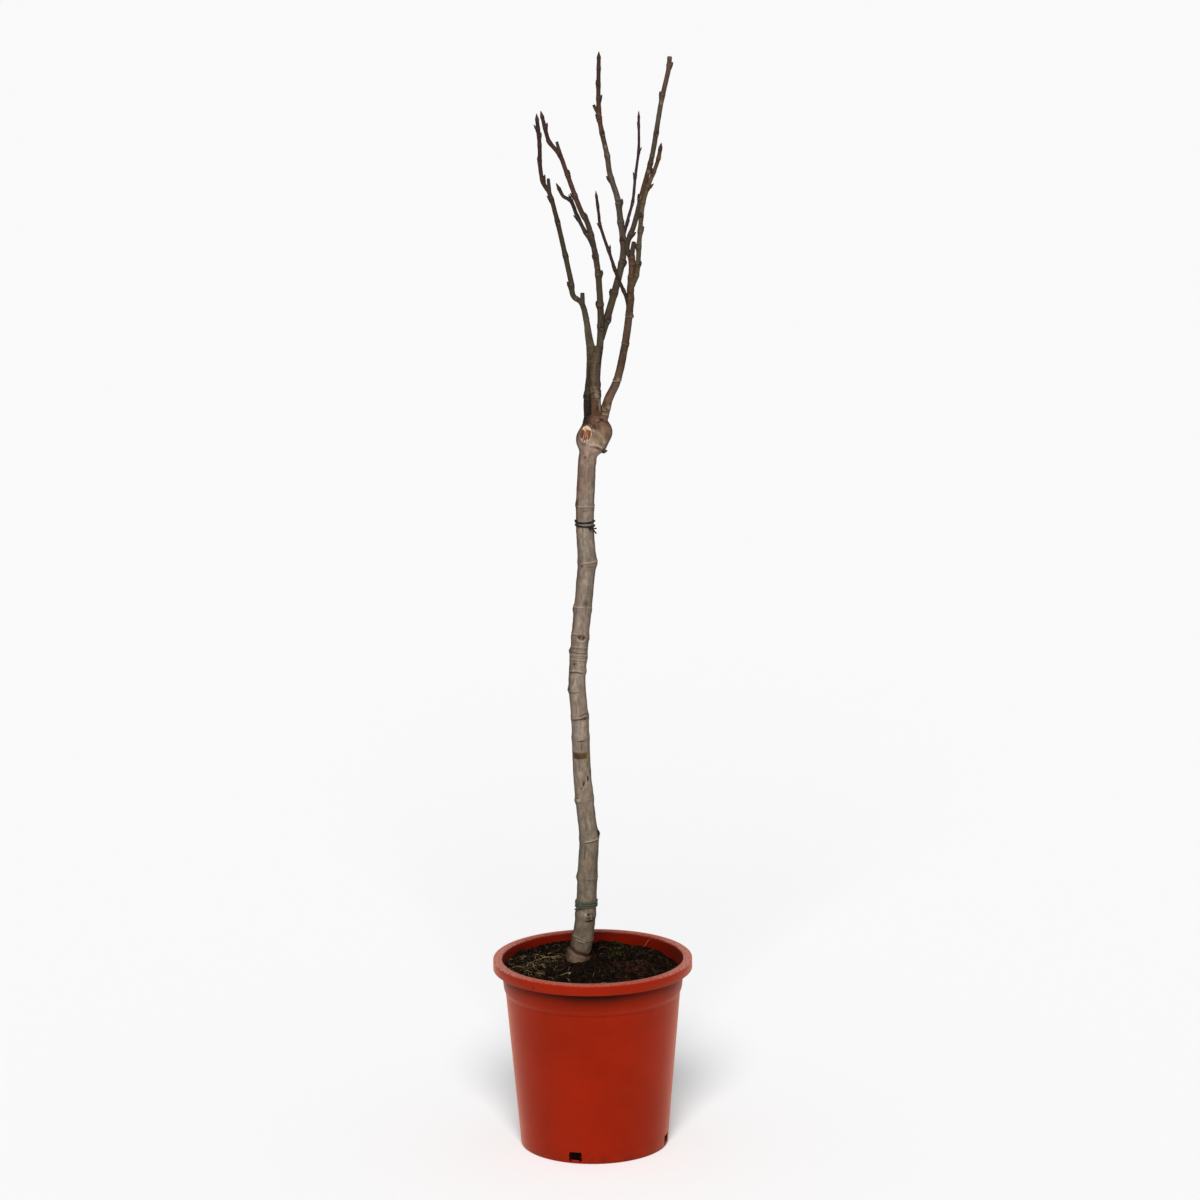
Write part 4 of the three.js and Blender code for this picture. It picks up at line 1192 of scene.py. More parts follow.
def stemWound(skin):
    # a torn bud scar: a dark rusty hollow in two lobes over a pale swollen lip
    wound = stem["wound"]
    v = (skin.places[:, None] - skin.line.placeAtHeight(wound["height"])) / wound["high"]
    u = skin.across(wound["turn"]) / wound["wide"]
    ragged = 0.16 * softNoise(skin.straight(), 1.3, 4)
    bridge = bell(u + 0.08 - 0.35 * v, 0, 0.2)
    upper = np.exp(-((np.hypot(u, (v - 0.25) * 1.15) + ragged) ** 4) * 1.4) * (1 - 0.45 * bridge)
    lip = bell(np.hypot(u * 0.95, v - 0.1), 0.95, 0.26) * ramp(v, 0.35, -1)
    skin.radius += 0.5 * np.exp(-(u**2 + v**2)) - 0.9 * upper + 0.9 * lip
    skin.paint("rust", upper)
    skin.paint("pale", 0.85 * lip)
    skin.paint("rust", 0.35 * bell(np.hypot(u, v), 0.6, 0.3) * ramp(v, 0.2, -1))
    skin.paint("pale", 0.15 * bridge * bell(np.hypot(u, v), 0, 0.9, 4))
    for right, rise, wide, high in ((-0.5, 0.4, 2.0, 1.9), (0.45, 0.3, 2.2, 2.0)):
        skin.paint("dark", 0.5 * bell(np.hypot((u - right) * wide, (v - rise) * high), power=4))


def makeStem(mesh):
    line = SmoothLine(stem["line"])
    start = line.placeAtHeight(stem["foot"])
    marked = [row[0] for row in stem["rings"] + stem["spots"]]
    marked += [stem["wound"]["height"], stem["collar"]["node"]]
    marked = [line.placeAtHeight(height) for height in marked]
    fine = ringPlaces(start, line.total, stem["step"], marked, *stem["fine"])
    places = fine[np.concatenate([[True], np.diff(fine) > stem["closest"]])]
    top = line.placeAtHeight(stem["headFrom"])
    above = np.arange(top, line.total, stem["headStep"])
    places = np.concatenate([places[places < top], above, [line.total]])
    skin, heights = limbSkin(stem, line, places, stem["sides"])
    rise, width = stem["swell"]
    for height in stem["swells"]:
        skin.radius += rise * bell(places, line.placeAtHeight(height), width)[:, None]
    # root flare with its lobes
    flare = stem["flare"]
    above = np.maximum(0, heights - flare["level"])
    lobes = flare["lobes"] * np.cos(3 * skin.angles + 1)[None, :] * np.exp(-above / flare["fade"])[:, None]
    skin.radius *= 1 + lobes
    skin.roughen(barkWearAndShade["stem"])
    growHead(skin)
    # the neck's end draws in under the boughs
    neck = stem["neck"]
    skin.radius *= 1 - neck["thinner"] * ramp(heights, neck["from"], neck["over"])[:, None] ** 2
    skin.mean = head["mean"]
    levelWound(skin)
    skin.addRings(stem["rings"], wave=0.25)
    skin.addRings([(height, 100, 260, 0.4, 0.45, 0.3) for height in stem["backRings"]], groove=0.25)
    skin.addSpots(stem["spots"])
    stemWound(skin)
    strokeHead(skin)
    z = np.repeat(heights[:, None], skin.sides, 1)
    blotches = np.clip(0.8 + 0.8 * softNoise(skin.straight() * [1, 1, 0.3], 3.4, 12), 0, 1.4)
    for turn, half, low, high, share, *colour in stem["strips"]:
        amount = share * bell(turned(skin.turns, turn), 0, half)[None, :] * blotches
        amount = (amount * ramp(z, low, 8) * ramp(z, high, -8))[..., None]
        skin.bark = blend(skin.bark, np.array(rgb(*colour)), amount)
    skin.mottleAndShadeFlanks(barkWearAndShade["stem"])
    band, collar = stem["band"], stem["collar"]
    inside = (ramp(z, band["low"], 0.5) * ramp(z, band["high"], -0.5))[..., None]
    olive = ramp(skin.turns, 20, 30)[None, :, None] * np.ones_like(z)[..., None]
    skin.bark = blend(skin.bark, blend(np.array(band["brown"]), np.array(band["olive"]), olive), inside)
    around = np.radians(skin.turns)
    level = collar["height"] + collar["tilt"] * np.sin(around)[None, :]
    level = level + collar["wobble"] * np.sin(around * 5)[None, :]
    (deep, narrow), (rise, width) = collar["groove"], collar["swell"]
    groove = bell(z, level, narrow)
    skin.radius += rise * bell(z - level, -4, width) - deep * groove
    skin.paint("rust", groove)
    skin.paint("dark", bell(z - level, -0.4, 1.2))
    skin.addTo(mesh)
    print("stem rings:", len(places))


# A seam is a turn, and its lowest and highest point.
boughs = {
    "left": {
        "seam": (72, 804, 864),
        "line": [
            (6, 4, 760), (1.8, 4.5, 780), (1.2, 5, 799), (3.8, 3, 826), (3.2, 1, 857), (-3.9, -3, 898),
            (-12, -2, 905), (-14.8, 1, 921), (-29.4, 12, 987), (-36, 16, 1009.5), (-41.3, 17.5, 1018),
            (-44.6, 19, 1034), (-45, 21, 1057), (-47, 19, 1081),
        ],
        "split": 893,
        "radii": [(760, 4.8), (778, 5), (786, 4.5), (800, 3.9), (860, 3.4), (893, 3)],
        # the darkest tones at the foot paint the shadow this bough lies in behind the head
        "tones": [
            (760, 30, 22, 17), (798, 32, 25, 19), (806, 48, 41, 28), (850, 54, 49, 33), (893, 50, 46, 31),
        ],
        "rings": [
            (797, -180, 20, 0.1, 0.6, 0.3), (803, -180, 20, 0.1, 0.6, 0.3),
            (880, -180, 180, 0.1, 0.25, 0.3),
        ],
        "spots": [
            # the broad dark spot at 784 paints that shadow too, and the long dark spot at 786 on the right
            # flank paints the shade in the cleft between the boughs
            (800.5, -88, 2.6, 2.2, 0.8, 0.8), (834, 90, 22, 2.8, 3.2, 0), (832, 60, 22, 2.4, 2.6, 0),
            (784, -30, 16, 9, 0, 0.85), (786, 78, 17, 2, 0, 0.9), (870, -60, 7, 1.6, 0, 0, {"green": 0.35}),
        ],
    },
    "middle": {
        "seam": (-72, 804, 864),
        "line": [
            (9, -2, 760), (10, -4, 782), (9.5, -5, 801), (10.5, -5, 827), (15, -4, 862), (15, -9, 900),
            (11.5, -17, 944), (3, -27, 983), (-3.5, -30, 996), (-17.5, -40, 1036), (-24, -44, 1054),
            (-34.5, -48, 1068), (-37.6, -50, 1078), (-40.6, -51, 1091),
        ],
        "split": 853,
        "radii": [(760, 6), (780, 6.4), (788, 5.7), (800, 4.9), (812, 4.5), (853, 3.8)],
        "tones": [
            (760, 76, 46, 31), (795, 70, 48, 32), (808, 68, 54, 37), (816, 36, 28, 16), (853, 43, 35, 22),
        ],
        "rings": [
            (806, -90, 90, 0.15, 0.5, 0.4, {"wave": 0.9}), (810.5, -50, 90, 0.1, 0.45, 0.3, {"wave": 0.8}),
            (801, -60, 90, 0.1, 0.5, 0.3, {"rust": 0.3}),
        ],
        "spots": [
            # the long dark spot at 786 on the left flank paints the shade in the cleft between the boughs
            (814, 82, 3, 2.6, 0.9, 0.7), (804, 78, 5.5, 2.2, 1, 0.9), (834, -90, 22, 2.8, 3.2, 0),
            (832, -62, 22, 2.4, 1.8, 0), (786, -82, 17, 1.6, 0, 0.85),
            (830, -30, 20, 0.8, 0, 0, {"green": 0.3}), (788, 66, 8, 1.4, 0, 0.6, {"rust": 0.4}),
            (790, 10, 3.2, 1.2, 0, 0.65, {"rust": 0.3}), (793, 48, 7, 1.5, 0.5, 0, {"pale": 0.4}),
            (804, 14, 5, 2.4, 0.5, 0, {"pale": 0.4, "rust": 0.1, "tilt": 0.3}),
            (811, -10, 1.6, 1.6, 0, 0, {"pale": 0.3}),
        ],
    },
    "right": {
        "line": [
            (13, -1, 765), (18.2, -2.5, 783), (22.6, -5, 799), (31, -8, 817), (40, -13, 857),
            (45.2, -16, 895), (46.2, -16, 915), (48, -15, 935), (47.2, -13.5, 949),
        ],
        "split": 890,
        "radii": [(765, 5), (778, 5.2), (788, 5), (797, 4.7), (808, 4.3), (850, 3.9), (890, 3.8)],
        "tones": [
            (765, 80, 52, 35), (786, 92, 65, 42), (794, 94, 65, 45), (812, 67, 51, 40), (821, 70, 46, 30),
            (835, 63, 44, 29), (890, 60, 42, 28),
        ],
        "rings": [
            (817.6, -180, 180, 0.5, 0.95, 0.45, {"tilt": 1.2, "width": 0.8}),
            (788, -60, 90, 0.6, 0.8, 0.3, {"wave": 0.9}), (783, -50, 70, 0.6, 0.7, 0.3),
            (857, -180, 180, 0.2, 0.4, 0.3), (884.5, -180, 180, 0.2, 0.6, 0.3),
        ],
        "spots": [
            (820.4, 8, 2, 2.4, 0.5, 0, {"pale": 0.35, "rust": 0.5}), (794, -30, 3.4, 2.2, 0, 0.6),
            (857, 82, 2.4, 2.2, 0.7, 0.3), (886, 84, 2, 2, 1.3, 0.7), (890, -6, 7, 0.9, 0, 0.7),
            (815, 70, 1.8, 1.6, 0, 0.7), (789, 10, 1.6, 1.4, 0, 0.6),
            (792, 30, 2.2, 1.8, 0, 0, {"pale": 0.5, "green": 0.3}), (796, 40, 2.4, 1.2, 0, 0.6),
        ],
    },
}

boughRule = {
    "sides": 40, "step": 1.1, "fine": (0.45, 2.6), "overlap": 0.4,
    "seam": {"wide": 34, "lighter": 1.3, "fade": 6},
}


def makeBough(mesh, name, offset):
    bough = boughs[name]
    line = SmoothLine(bough["line"])
    nodes = [line.placeAtHeight(row[0]) for row in bough["rings"]]
    end = line.placeAtHeight(bough["split"]) + boughRule["overlap"]
    places = ringPlaces(0, end, boughRule["step"], nodes, *boughRule["fine"])
    skin, heights = limbSkin(bough, line, places, boughRule["sides"])
    skin.roughen(barkWearAndShade["bough"], offset)
    skin.addRings(bough["rings"], groove=0.25, width=0.6)
    skin.addSpots(bough["spots"])
    skin.mottleAndShadeFlanks(barkWearAndShade["bough"], offset)
    if "seam" in bough:
        # painted light: where the boughs have grown together their flanks are lightened, lifting the
        # painted flank shade and the shade of the seam
        (turn, low, high), seam = bough["seam"], boughRule["seam"]
        share = (ramp(heights, low, seam["fade"]) * ramp(heights, high, -seam["fade"]))[:, None]
        share = share * bell(turned(skin.turns, turn), 0, seam["wide"])
        skin.bark[..., :3] *= 1 + seam["lighter"] * share[..., None]
    skin.addTo(mesh, 40 * offset)


woundFace = {
    "cream": rgb(206, 186, 152), "rim": rgb(188, 156, 132), "heart": rgb(150, 70, 34),
    "wood": rgb(112, 62, 34), "brown": rgb(50, 27, 15), "olive": rgb(74, 52, 22),
}


def makePruningWound(mesh):
    # a sawn branch end: cream above, a rusty rayed heart, dark cracks and a ragged pale rim
    middle, normal, across, upward = woundAxes()
    wide, high = head["wound"]["size"]
    sides, rings = 72, 22
    shares = np.concatenate([[1.08], np.linspace(1.0, 0.03, rings - 1)])[:, None]
    angles = circle(sides)[None, :]

    def lumps(x, y, size, seed):
        return softNoise(np.stack([x, y, 0 * x], -1), size, seed)

    ragged = 1 + 0.05 * lumps(np.cos(angles), np.sin(angles), 0.35, 8)
    u, v = shares * ragged * np.cos(angles), shares * ragged * np.sin(angles)
    noise, cloud = lumps(u, v * 0.35, 0.12, 21), lumps(u, v, 0.3, 22)
    # a shallow dish with a raised edge, whose outermost ring sinks into the bark
    dish = 0.1 + 0.3 * shares**8 - 0.5 * (1 - shares**2) * (v < 0.4)
    level = (np.where(shares > 1.04, -0.7, dish) + 0.12 * noise)[..., None]
    points = middle + across * (u * wide)[..., None] + upward * (v * high)[..., None] + normal * level
    colour = np.broadcast_to(woundFace["wood"], (*u.shape, 4))
    below, rays = ramp(v, -0.05, -0.25), np.cos(u * 17 + cloud)
    worn = np.where((u > 0.1) | (v < -0.6), 1.0, 0.2)
    for name, amount in (
        ("heart", ramp(np.abs(u) - 0.15 * cloud, 0.42, -0.15) * ramp(v, -0.5, 0.2)),
        ("brown", 0.95 * bell(u, -0.6, 0.24, 4) * bell(v, -0.02, 0.62, 4) * (0.8 + 0.3 * noise)),
        ("olive", 0.9 * bell(u, 0.52, 0.18) * bell(v, 0.15, 0.45, 4)),
        ("cream", 0.6 * below * np.clip(rays, 0, 1) * (np.abs(u) < 0.6)),
        ("brown", 0.75 * below * np.clip(-rays, 0, 1)),
        ("brown", 0.8 * bell(u, 0, 0.1) * bell(v, -0.62, 0.18)),
        ("cream", ramp(v + 0.22 * cloud, 0.42, 0.12) * ramp(np.abs(u - 0.06), 0.78, -0.12)),
        ("rim", worn * ramp(shares + 0.2 * noise, 0.9, 0.05) * ramp(v, 0.75, -0.3)),
        ("brown", 0.7 * (1 - worn) * ramp(shares, 0.8, 0.08) * ramp(v, 0.5, -0.2)),
    ):
        colour = blend(colour, np.array(woundFace[name]), np.clip(amount, 0, 1)[..., None])
    points = np.concatenate([points.reshape(-1, 3), [middle - 0.4 * normal]])
    colour = np.concatenate([colour.reshape(-1, 4), [woundFace["heart"]]])
    faces = [tubeFaces(rings, sides)[:, ::-1], capFaces(rings, sides, rings * sides, True)[:, ::-1]]
    mesh.add(points, faces, colour)


# how far along the bud each ring is, and its share of the radius; the edges of the scales are
# dark and then pale
budShape = {
    "rings": [(-0.3, 0.5), (0, 0.95), (0.12, 1.04), (0.26, 1.0), (0.36, 0.88), (0.42, 0.9), (0.56, 0.72),
              (0.64, 0.56), (0.7, 0.57), (0.84, 0.34), (0.94, 0.14), (1.0, 0.03)],
    "darkEdges": (4, 7), "paleEdges": (5, 8),
}


def makeBud(mesh, foot, direction, length, radius, shade, sides=10, flatness=0.8):
    # a pointed bud: overlapping scales drawn as small steps in its outline
    direction = unit(np.array(direction, float))
    across = unit(np.cross(direction, (0.3, 0.2, 0.93)))
    upward = np.cross(direction, across)
    angles = circle(sides)
    ring = np.cos(angles)[:, None] * across + flatness * np.sin(angles)[:, None] * upward
    points, marks = [], []
    for index, (along, share) in enumerate(budShape["rings"]):
        reach = radius * share * (1 + 0.07 * np.cos(2 * angles + index))
        points.append(np.array(foot) + direction * along * length + ring * reach[:, None])
        dark = 0.55 if index in budShape["darkEdges"] else 0.1
        marks += [(dark, 0.3 * (index in budShape["paleEdges"]), 0, 0)] * sides
    points.append([points[0].mean(0), points[-1].mean(0)])
    faces = closedTube(len(budShape["rings"]), sides)
    mesh.add(np.concatenate(points), faces, shade, np.array(marks + [(0, 0, 0, 0)] * 2))


def makeWood():
    mesh = PieceMesh()
    makeStem(mesh)
    for offset, name in enumerate(boughs, 1):
        makeBough(mesh, name, offset)
    makePruningWound(mesh)
    makeBud(mesh, *head["bud"], head["budShade"], 12)
    bark = makeBarkMaterial("stemBark")
    mesh.makePiece("woodyStem", bark, "stem_bark", "trunk", "left_bough", "middle_bough", "right_bough")


makeWood()


# Twigs, grown by the same rule as the solids, with rings, leaf scars and scaled buds

twigRule = {
    "firstNode": 0.7, "tipClear": 7, "budSeat": 0.72, "jitter": 0.25, "turn": math.radians(137.5),
    "swell": 0.16, "swellSpread": 2.6, "budLength": (4.5, 6.5), "budWidth": 0.72, "budLean": 2.2,
    "tipLength": 8.95, "tipWidth": 1.15, "gap": 0.3, "sides": 20, "stubSides": 18,
    "step": 1.25, "fine": (0.5, 3.0),
    "budShade": rgb(46, 30, 25), "tipShade": rgb(54, 34, 29), "stubShade": rgb(58, 46, 36),
    # the ring left by the leaf's sheath, the leaf scar below the bud, and the older, wider rings
    "sheath": {"ridge": 0.14, "groove": 0.2, "pale": 0.25, "dark": 0.6, "width": 0.5, "wave": 0.15},
    "scar": {"rise": 0.2, "edge": 0.1, "pale": 0.4, "rust": 0.1, "rimDark": 0.8},
    "ring": {"ridge": 0.25, "groove": 0.2, "dark": 0.6, "width": 1.2, "wave": 0.2},
    "ringTints": {"pale": {"pale": 0.4}, "rust": {"pale": 0.1, "rust": 0.8}},
}

# Pitches, in millimetres, run from the foot to the tip, and tones by the share of the length.
shoots = {
    "left": [
        {
            "line": boughs["left"]["line"], "split": 893, "radii": (2.9, 1.9), "pitch": (38, 8),
            "seed": 8022,
            "tones": [(0, 54, 49, 33), (0.45, 46, 38, 28), (0.68, 54, 34, 26), (1, 44, 25, 22)],
            "rings": [(1012, "rust"), (902, "pale")],
        },
    ],
    "middle": [
        {
            "line": boughs["middle"]["line"], "split": 853, "radii": (3.6, 1.9), "pitch": (30, 16),
            "seed": 2156,
            "tones": [
                (0, 68, 59, 42), (0.1, 60, 52, 37), (0.4, 60, 50, 40), (0.7, 66, 46, 36), (1, 48, 29, 25),
            ],
            "rings": [(895, "rust"), (1052, "rust"), (1056, "rust"), (935, "pale")],
        },
        {
            "line": [
                (15, -4, 861), (24.5, 7, 889), (36, 16, 929), (39.5, 19.5, 949), (36.2, 21, 984),
                (33.8, 21.5, 1002), (26.3, 24, 1027), (23.9, 25, 1044), (16.4, 27.5, 1082),
                (15.5, 29, 1104), (16.2, 32, 1142),
            ],
            "radii": (4, 2), "pitch": (30, 15), "seed": 3170,
            "tones": [
                (0, 56, 49, 35), (0.3, 64, 54, 42), (0.55, 74, 66, 56), (0.75, 66, 51, 41),
                (0.8, 76, 46, 30), (0.86, 58, 38, 29), (1, 50, 31, 27),
            ],
            "rings": [(1079, "rust"), (1083, "rust"), (1086, "pale"), (1000, "pale"), (940, "pale")],
            "spots": [
                (1091, 0, 5, 9, 0.45, 0), (1054.5, 10, 1.8, 1.5, 0, 0, {"pale": 1}),
                (1045.3, 20, 2.4, 1.2, 0, 0, {"pale": 0.7}),
            ],
        },
        {
            "line": [
                (39.5, 21, 962), (44.5, 28, 980), (49.5, 35, 997), (52.5, 43, 1022), (56.2, 50, 1049),
                (56.6, 56.5, 1079),
            ],
            "radii": (1.7, 1.25), "pitch": (22, 22), "seed": 8541,
            "tones": [(0, 50, 30, 34), (1, 42, 24, 34)], "rings": [],
        },
        {
            "line": [
                (8, -22, 959), (5, -23.5, 966), (0, -22, 974.5), (-7.5, -18, 989.5), (-13.8, -13, 1004),
                (-21.5, -9.5, 1008.6), (-24.5, -8, 1014),
            ],
            "radii": (2.2, 1.8), "pitch": (22, 13), "seed": 7822,
            "tones": [(0, 50, 40, 31), (1, 48, 38, 32)], "rings": [],
        },
    ],
    "right": [
        {
            "line": boughs["right"]["line"], "split": 890, "radii": (3.8, 3.6), "pitch": (18, 21),
            "seed": 4095, "cut": True, "tones": [(0, 67, 49, 33), (1, 80, 58, 39)],
            "rings": [(911, "rust"), (944, "rust"), (938, "pale")],
            "spots": [(912, 6, 2.2, 2.2, 0.4, 0, {"rust": 1}), (948, -35, 2, 1.6, 0, 1)],
        },
        {
            "line": [
                (47.2, -14, 944), (43, -11.5, 954), (44.6, -11, 964), (49.5, -10, 976), (60.5, -4, 1016),
                (69, 0, 1046), (79.2, 6, 1102), (86.9, 10, 1135), (88, 10, 1147),
            ],
            "radii": (2.7, 2.4), "pitch": (38, 27), "seed": 8625, "cut": True,
            "tones": [
                (0, 52, 46, 34), (0.33, 56, 45, 33), (0.38, 60, 41, 29), (0.49, 60, 42, 31),
                (0.55, 64, 57, 43), (0.74, 70, 61, 48), (0.86, 74, 56, 44), (1, 78, 62, 52),
            ],
            "rings": [(1046, "pale")],
            "spots": [
                (1100, 0, 1.8, 1.6, 0, 0, {"pale": 0.9}), (1031.5, 10, 1.8, 1.8, 0, 0, {"pale": 0.9}),
                (1005, -10, 1.8, 1.5, 0, 0, {"pale": 0.8}),
            ],
        },
        {
            "line": [
                (48, -16, 917), (52.5, -21, 930), (55.4, -31, 966), (59, -41, 1003), (63.5, -45, 1019),
                (74.6, -52, 1049), (76.4, -53, 1058),
            ],
            "radii": (2.7, 2), "pitch": (18, 12), "seed": 4755,
            "tones": [(0, 72, 60, 44), (0.5, 80, 71, 54), (0.8, 84, 63, 42), (1, 60, 52, 38)],
            "rings": [(1049, "rust"), (985, "pale")],
        },
        {
            "line": [
                (44, -16, 894), (41.2, -19, 907), (34, -27, 925), (26, -35, 950), (15.6, -46, 984),
                (14.6, -50, 994), (12.7, -53, 1010.5),
            ],
            "radii": (2, 1.4), "pitch": (30, 19), "seed": 374,
            "tones": [(0, 42, 28, 20), (0.6, 48, 31, 26), (1, 42, 25, 23)],
            "rings": [(984, "rust")],
        },
    ],
}

# start, end and the radius at each
stubs = {
    "left": [
        ((-3, -3, 896), (-3, -4.5, 908.5), 2.6, 2.2), ((-35.4, 15.5, 1007), (-36.5, 10.5, 1024), 2.2, 1.7),
    ],
    "middle": [
        ((-22.5, -43, 1050), (-27, -38.5, 1067), 2.3, 1.5), ((15.4, 28, 1087), (10.4, 25, 1097), 2.1, 1.5),
    ],
    "right": [((47, -14, 945), (50, -16.5, 962), 2.9, 2.2)],
}

twigNodes = {"left": "left_twigs", "middle": "inner_twigs", "right": "right_twigs"}


def growTwig(mesh, shoot, offset):
    line = SmoothLine(shoot["line"])
    total = line.total
    start = line.placeAtHeight(shoot["split"]) if "split" in shoot else 0.0
    origin = start + twigRule["gap"] if "split" in shoot else 0.0
    random = randomFrom(shoot["seed"])
    nodes = []
    first, last = shoot["pitch"]
    node = origin + first * twigRule["firstNode"]
    while node < total - twigRule["tipClear"]:
        nodes.append(node)
        pitch = first + (last - first) * (node - origin) / (total - origin)
        node += pitch * (1 + twigRule["jitter"] * (2 * next(random) - 1))
    places = ringPlaces(start, total, twigRule["step"], nodes, *twigRule["fine"])
    share = (places - start) / (total - start)
    thick, thin = shoot["radii"]
    swell = sum(bell(places, at, twigRule["swellSpread"]) for at in nodes)
    radius = (thick + (thin - thick) * share) * (1 + twigRule["swell"] * swell)
    skin = Skin(line, places, twigRule["sides"], radius, readTones(shoot["tones"], share))
    skin.roughen(barkWearAndShade["twig"], offset)
    skin.mottleAndShadeFlanks(barkWearAndShade["twig"], offset)
    turn = next(random) * 2 * math.pi
    shortest, longest = twigRule["budLength"]
    buds = []
    for at in nodes:
        along, side, front = (row[0] for row in line.frames(np.array([at])))
        outward = side * math.cos(turn) + front * math.sin(turn)
        size = float(np.interp(at, places, radius))
        length = shortest + (longest - shortest) * next(random)
        foot = line.at(np.array([at]))[0] + outward * size * twigRule["budSeat"]
        buds.append((foot, outward + along * twigRule["budLean"], length, size * twigRule["budWidth"]))
        fromFront = 90 - math.degrees(turn)
        skin.ring(at + 0.4, **twigRule["sheath"])
        skin.spot(at - 1.0, fromFront, 2.6, size * 0.95, rise=0.22 * size)
        skin.spot(at - 1.9, fromFront, 1.3, min(1.7, size * 0.7), **twigRule["scar"])
        turn += twigRule["turn"]
    for height, tint in shoot["rings"]:
        skin.ring(line.placeAtHeight(height), **twigRule["ring"], **twigRule["ringTints"][tint])
    skin.addSpots(shoot.get("spots", []))
    cut = shoot.get("cut")
    if cut:
        skin.radius[-1] *= 0.9
        skin.marks[-1, :, 1] = 0.7
    skin.addTo(mesh, 30 * offset)
    for bud in buds:
        makeBud(mesh, *bud, twigRule["budShade"])
    if not cut:
        tip, way = (given(np.array([total]))[0] for given in (line.at, line.along))
        size = thin * twigRule["tipWidth"]
        makeBud(mesh, tip, way, twigRule["tipLength"], size, twigRule["tipShade"], 12, 0.95)


def makeStub(mesh, start, end, thick, thin):
    line = SmoothLine([start, end], 8)
    places = np.concatenate([np.arange(0, line.total - 0.6, 0.8), line.total - np.array([0.5, 0.15, 0])])
    radius = thick + (thin - thick) * (places / line.total)
    skin = Skin(line, places, twigRule["stubSides"], radius, twigRule["stubShade"])
    skin.roughen(barkWearAndShade["stub"])
    skin.radius[-1] *= 0.86
    skin.marks[-2:, :, 0] = 0.5
    skin.addTo(mesh, 12)


def makeTwigs(bark):
    for name, group in shoots.items():
        mesh = PieceMesh()
        for offset, shoot in enumerate(group):
            growTwig(mesh, shoot, offset)
        for stub in stubs[name]:
            makeStub(mesh, *stub)
        mesh.makePiece(name + "Twigs", bark, "twig_bark", twigNodes[name])


makeTwigs(makeBarkMaterial("twigBark"))


# Ties round the stem

# A turn is its height in front and how far it climbs to the right.
ties = {
    "upper": {
        "worn": rgb(34, 31, 30), "node": "upper_tie", "slot": "black_wire", "strand": 0.88,
        "shade": rgb(9, 8, 8), "turns": [(670.2, 0.4), (666.2, -0.5)],
        "tails": [
            [(2.2, -8.6, 665.6), (4.6, -9.6, 664.2), (7, -9.8, 664.6), (9, -9.4, 664.8)],
            [(2.6, -8.8, 664.8), (5.4, -9.8, 663.2), (7.2, -10, 661.2), (8.6, -9.8, 659.2)],
            [
                (0.8, -9.3, 665.6), (2.4, -10.1, 664), (4.2, -9.7, 665.4), (3.2, -9.2, 666.6),
                (1.6, -9.6, 664.6),
            ],
            [(-10.4, -3.4, 670.4), (-12.2, -3.8, 671.6), (-13.6, -4, 672.9)],
        ],
    },
    "lower": {
        "node": "lower_tie", "slot": "green_wire", "strand": 0.98, "shade": rgb(72, 76, 61),
        "turns": [(260.9, 0.2), (258.3, -0.3), (255.6, 0.2)],
        "tails": [
            [(-15.5, 4.4, 260.6), (-13.6, 1.6, 258.8), (-10.6, -0.2, 256.6), (-8.2, -0.9, 255.4)],
            [(-14.8, 3.2, 255.2), (-12.8, 0.9, 257.2), (-11.2, 0.4, 259.4), (-13.4, 2, 260.2)],
            [(-12.4, 1.2, 255.4), (-15.6, 3.6, 254.4), (-18.4, 5, 253.4)],
        ],
    },
}


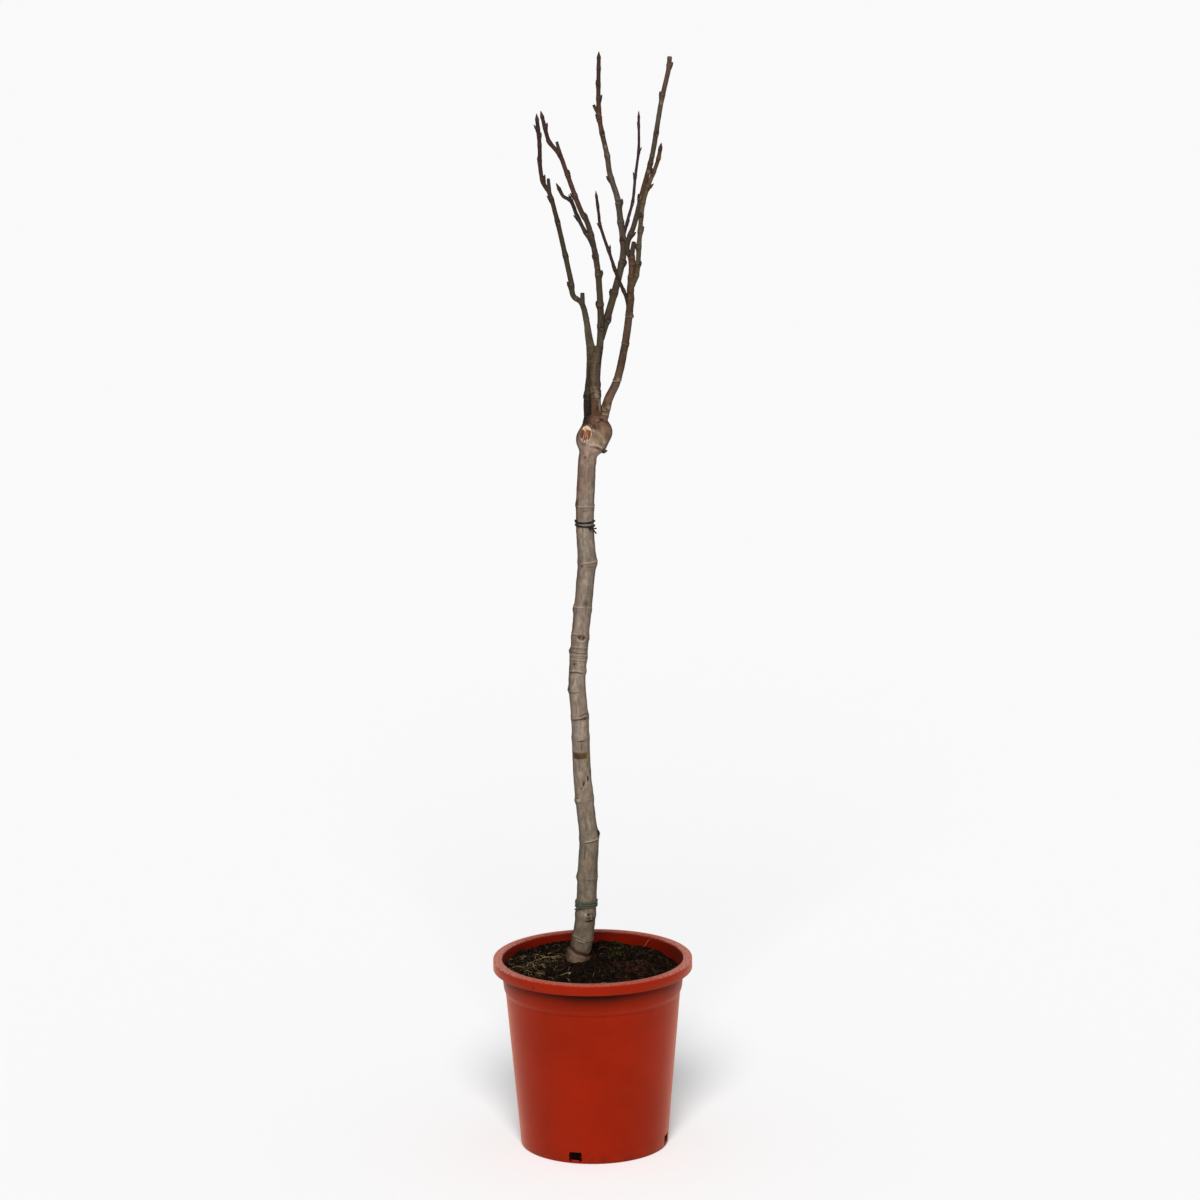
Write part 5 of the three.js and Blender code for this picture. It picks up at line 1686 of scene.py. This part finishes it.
def makeTie(name, material):
    tie = ties[name]
    mesh = PieceMesh()
    line = SmoothLine(stem["line"])
    sides = 10
    for height, climb in tie["turns"]:
        angles = np.linspace(0, 2 * math.pi, 73)[:-1]
        level = height + climb * np.cos(angles)
        reach = readTable(stem["radii"], level) + tie["strand"] * 0.5
        loop = line.at([line.placeAtHeight(value) for value in level])
        loop += np.stack([np.cos(angles) * reach, -np.sin(angles) * reach, 0 * angles], -1)
        loop[:, 2] = level
        addClosedStrand(mesh, loop, tie["strand"], sides, tie["shade"])
    for tail in tie["tails"]:
        path = SmoothLine(tail, 12)
        radius = np.full(26, tie["strand"] * 0.92)
        radius[-1] *= 0.7
        Skin(path, np.linspace(0, path.total, len(radius)), sides, radius, tie["shade"]).addTo(mesh, 5)
    mesh.makePiece(name + "Tie", material, tie["slot"], tie["node"])


def addClosedStrand(mesh, loop, radius, sides, shade):
    count = len(loop)
    ahead = unit(np.roll(loop, -1, 0) - np.roll(loop, 1, 0))
    across = unit(np.cross(ahead, np.array([0, 0, 1.0])))
    angles = circle(sides)
    points = loop[:, None] + spokes(across, np.cross(across, ahead), angles) * radius
    lengths = np.concatenate([[0], np.cumsum(np.linalg.norm(np.diff(loop, axis=0), axis=1))])
    straight = straightened(angles, radius, lengths)
    index = np.arange(count)[:, None]
    here, following = index * sides, (index + 1) % count * sides
    side = np.arange(sides)[None, :]
    beside = (side + 1) % sides
    faces = np.stack([here + side, here + beside, following + beside, following + side], -1).reshape(-1, 4)
    mesh.add(points, [faces], shade, straight=straight.reshape(-1, 3))


def makeWireMaterial():
    tree = newMaterial("blackWire", Specular_IOR_Level=0.15)
    wear = tree.spread(tree.noise(tree.place(), 700.0, 4.0, 0.6), 0.5, 0.7, 0.0, 0.2)
    colour = tree.mix(wear, tree.own("bark"), ties["upper"]["worn"])
    return tree.finish(colour, tree.spread(wear, 0.0, 0.5, 0.35, 0.6), wear, 0.3, 0.0002)


def makeTwineMaterial():
    tree = newMaterial("greenTwist", Specular_IOR_Level=0.15)
    straight = tree.own("straight", "Vector")
    slanted = tree.add("Mapping", {"Vector": straight, "Rotation": (0.7, 0.5, 0)})[0]
    lay = tree.add("TexWave", {"Vector": slanted, "Scale": 420.0, "Distortion": 1.2})[0]
    fuzz = tree.noise(straight, 1500.0, 4.0, 0.7)
    tone = tree.plus(tree.spread(lay, 0, 1, 0.62, 1.12), tree.spread(fuzz, 0.3, 0.7, -0.15, 0.2))
    rough = tree.spread(fuzz, 0.3, 0.7, 0.6, 0.85)
    return tree.finish(tree.shade(tree.own("bark"), tone), rough, tree.plus(lay, fuzz), 0.5, 0.0004)


makeTie("upper", makeWireMaterial())
makeTie("lower", makeTwineMaterial())
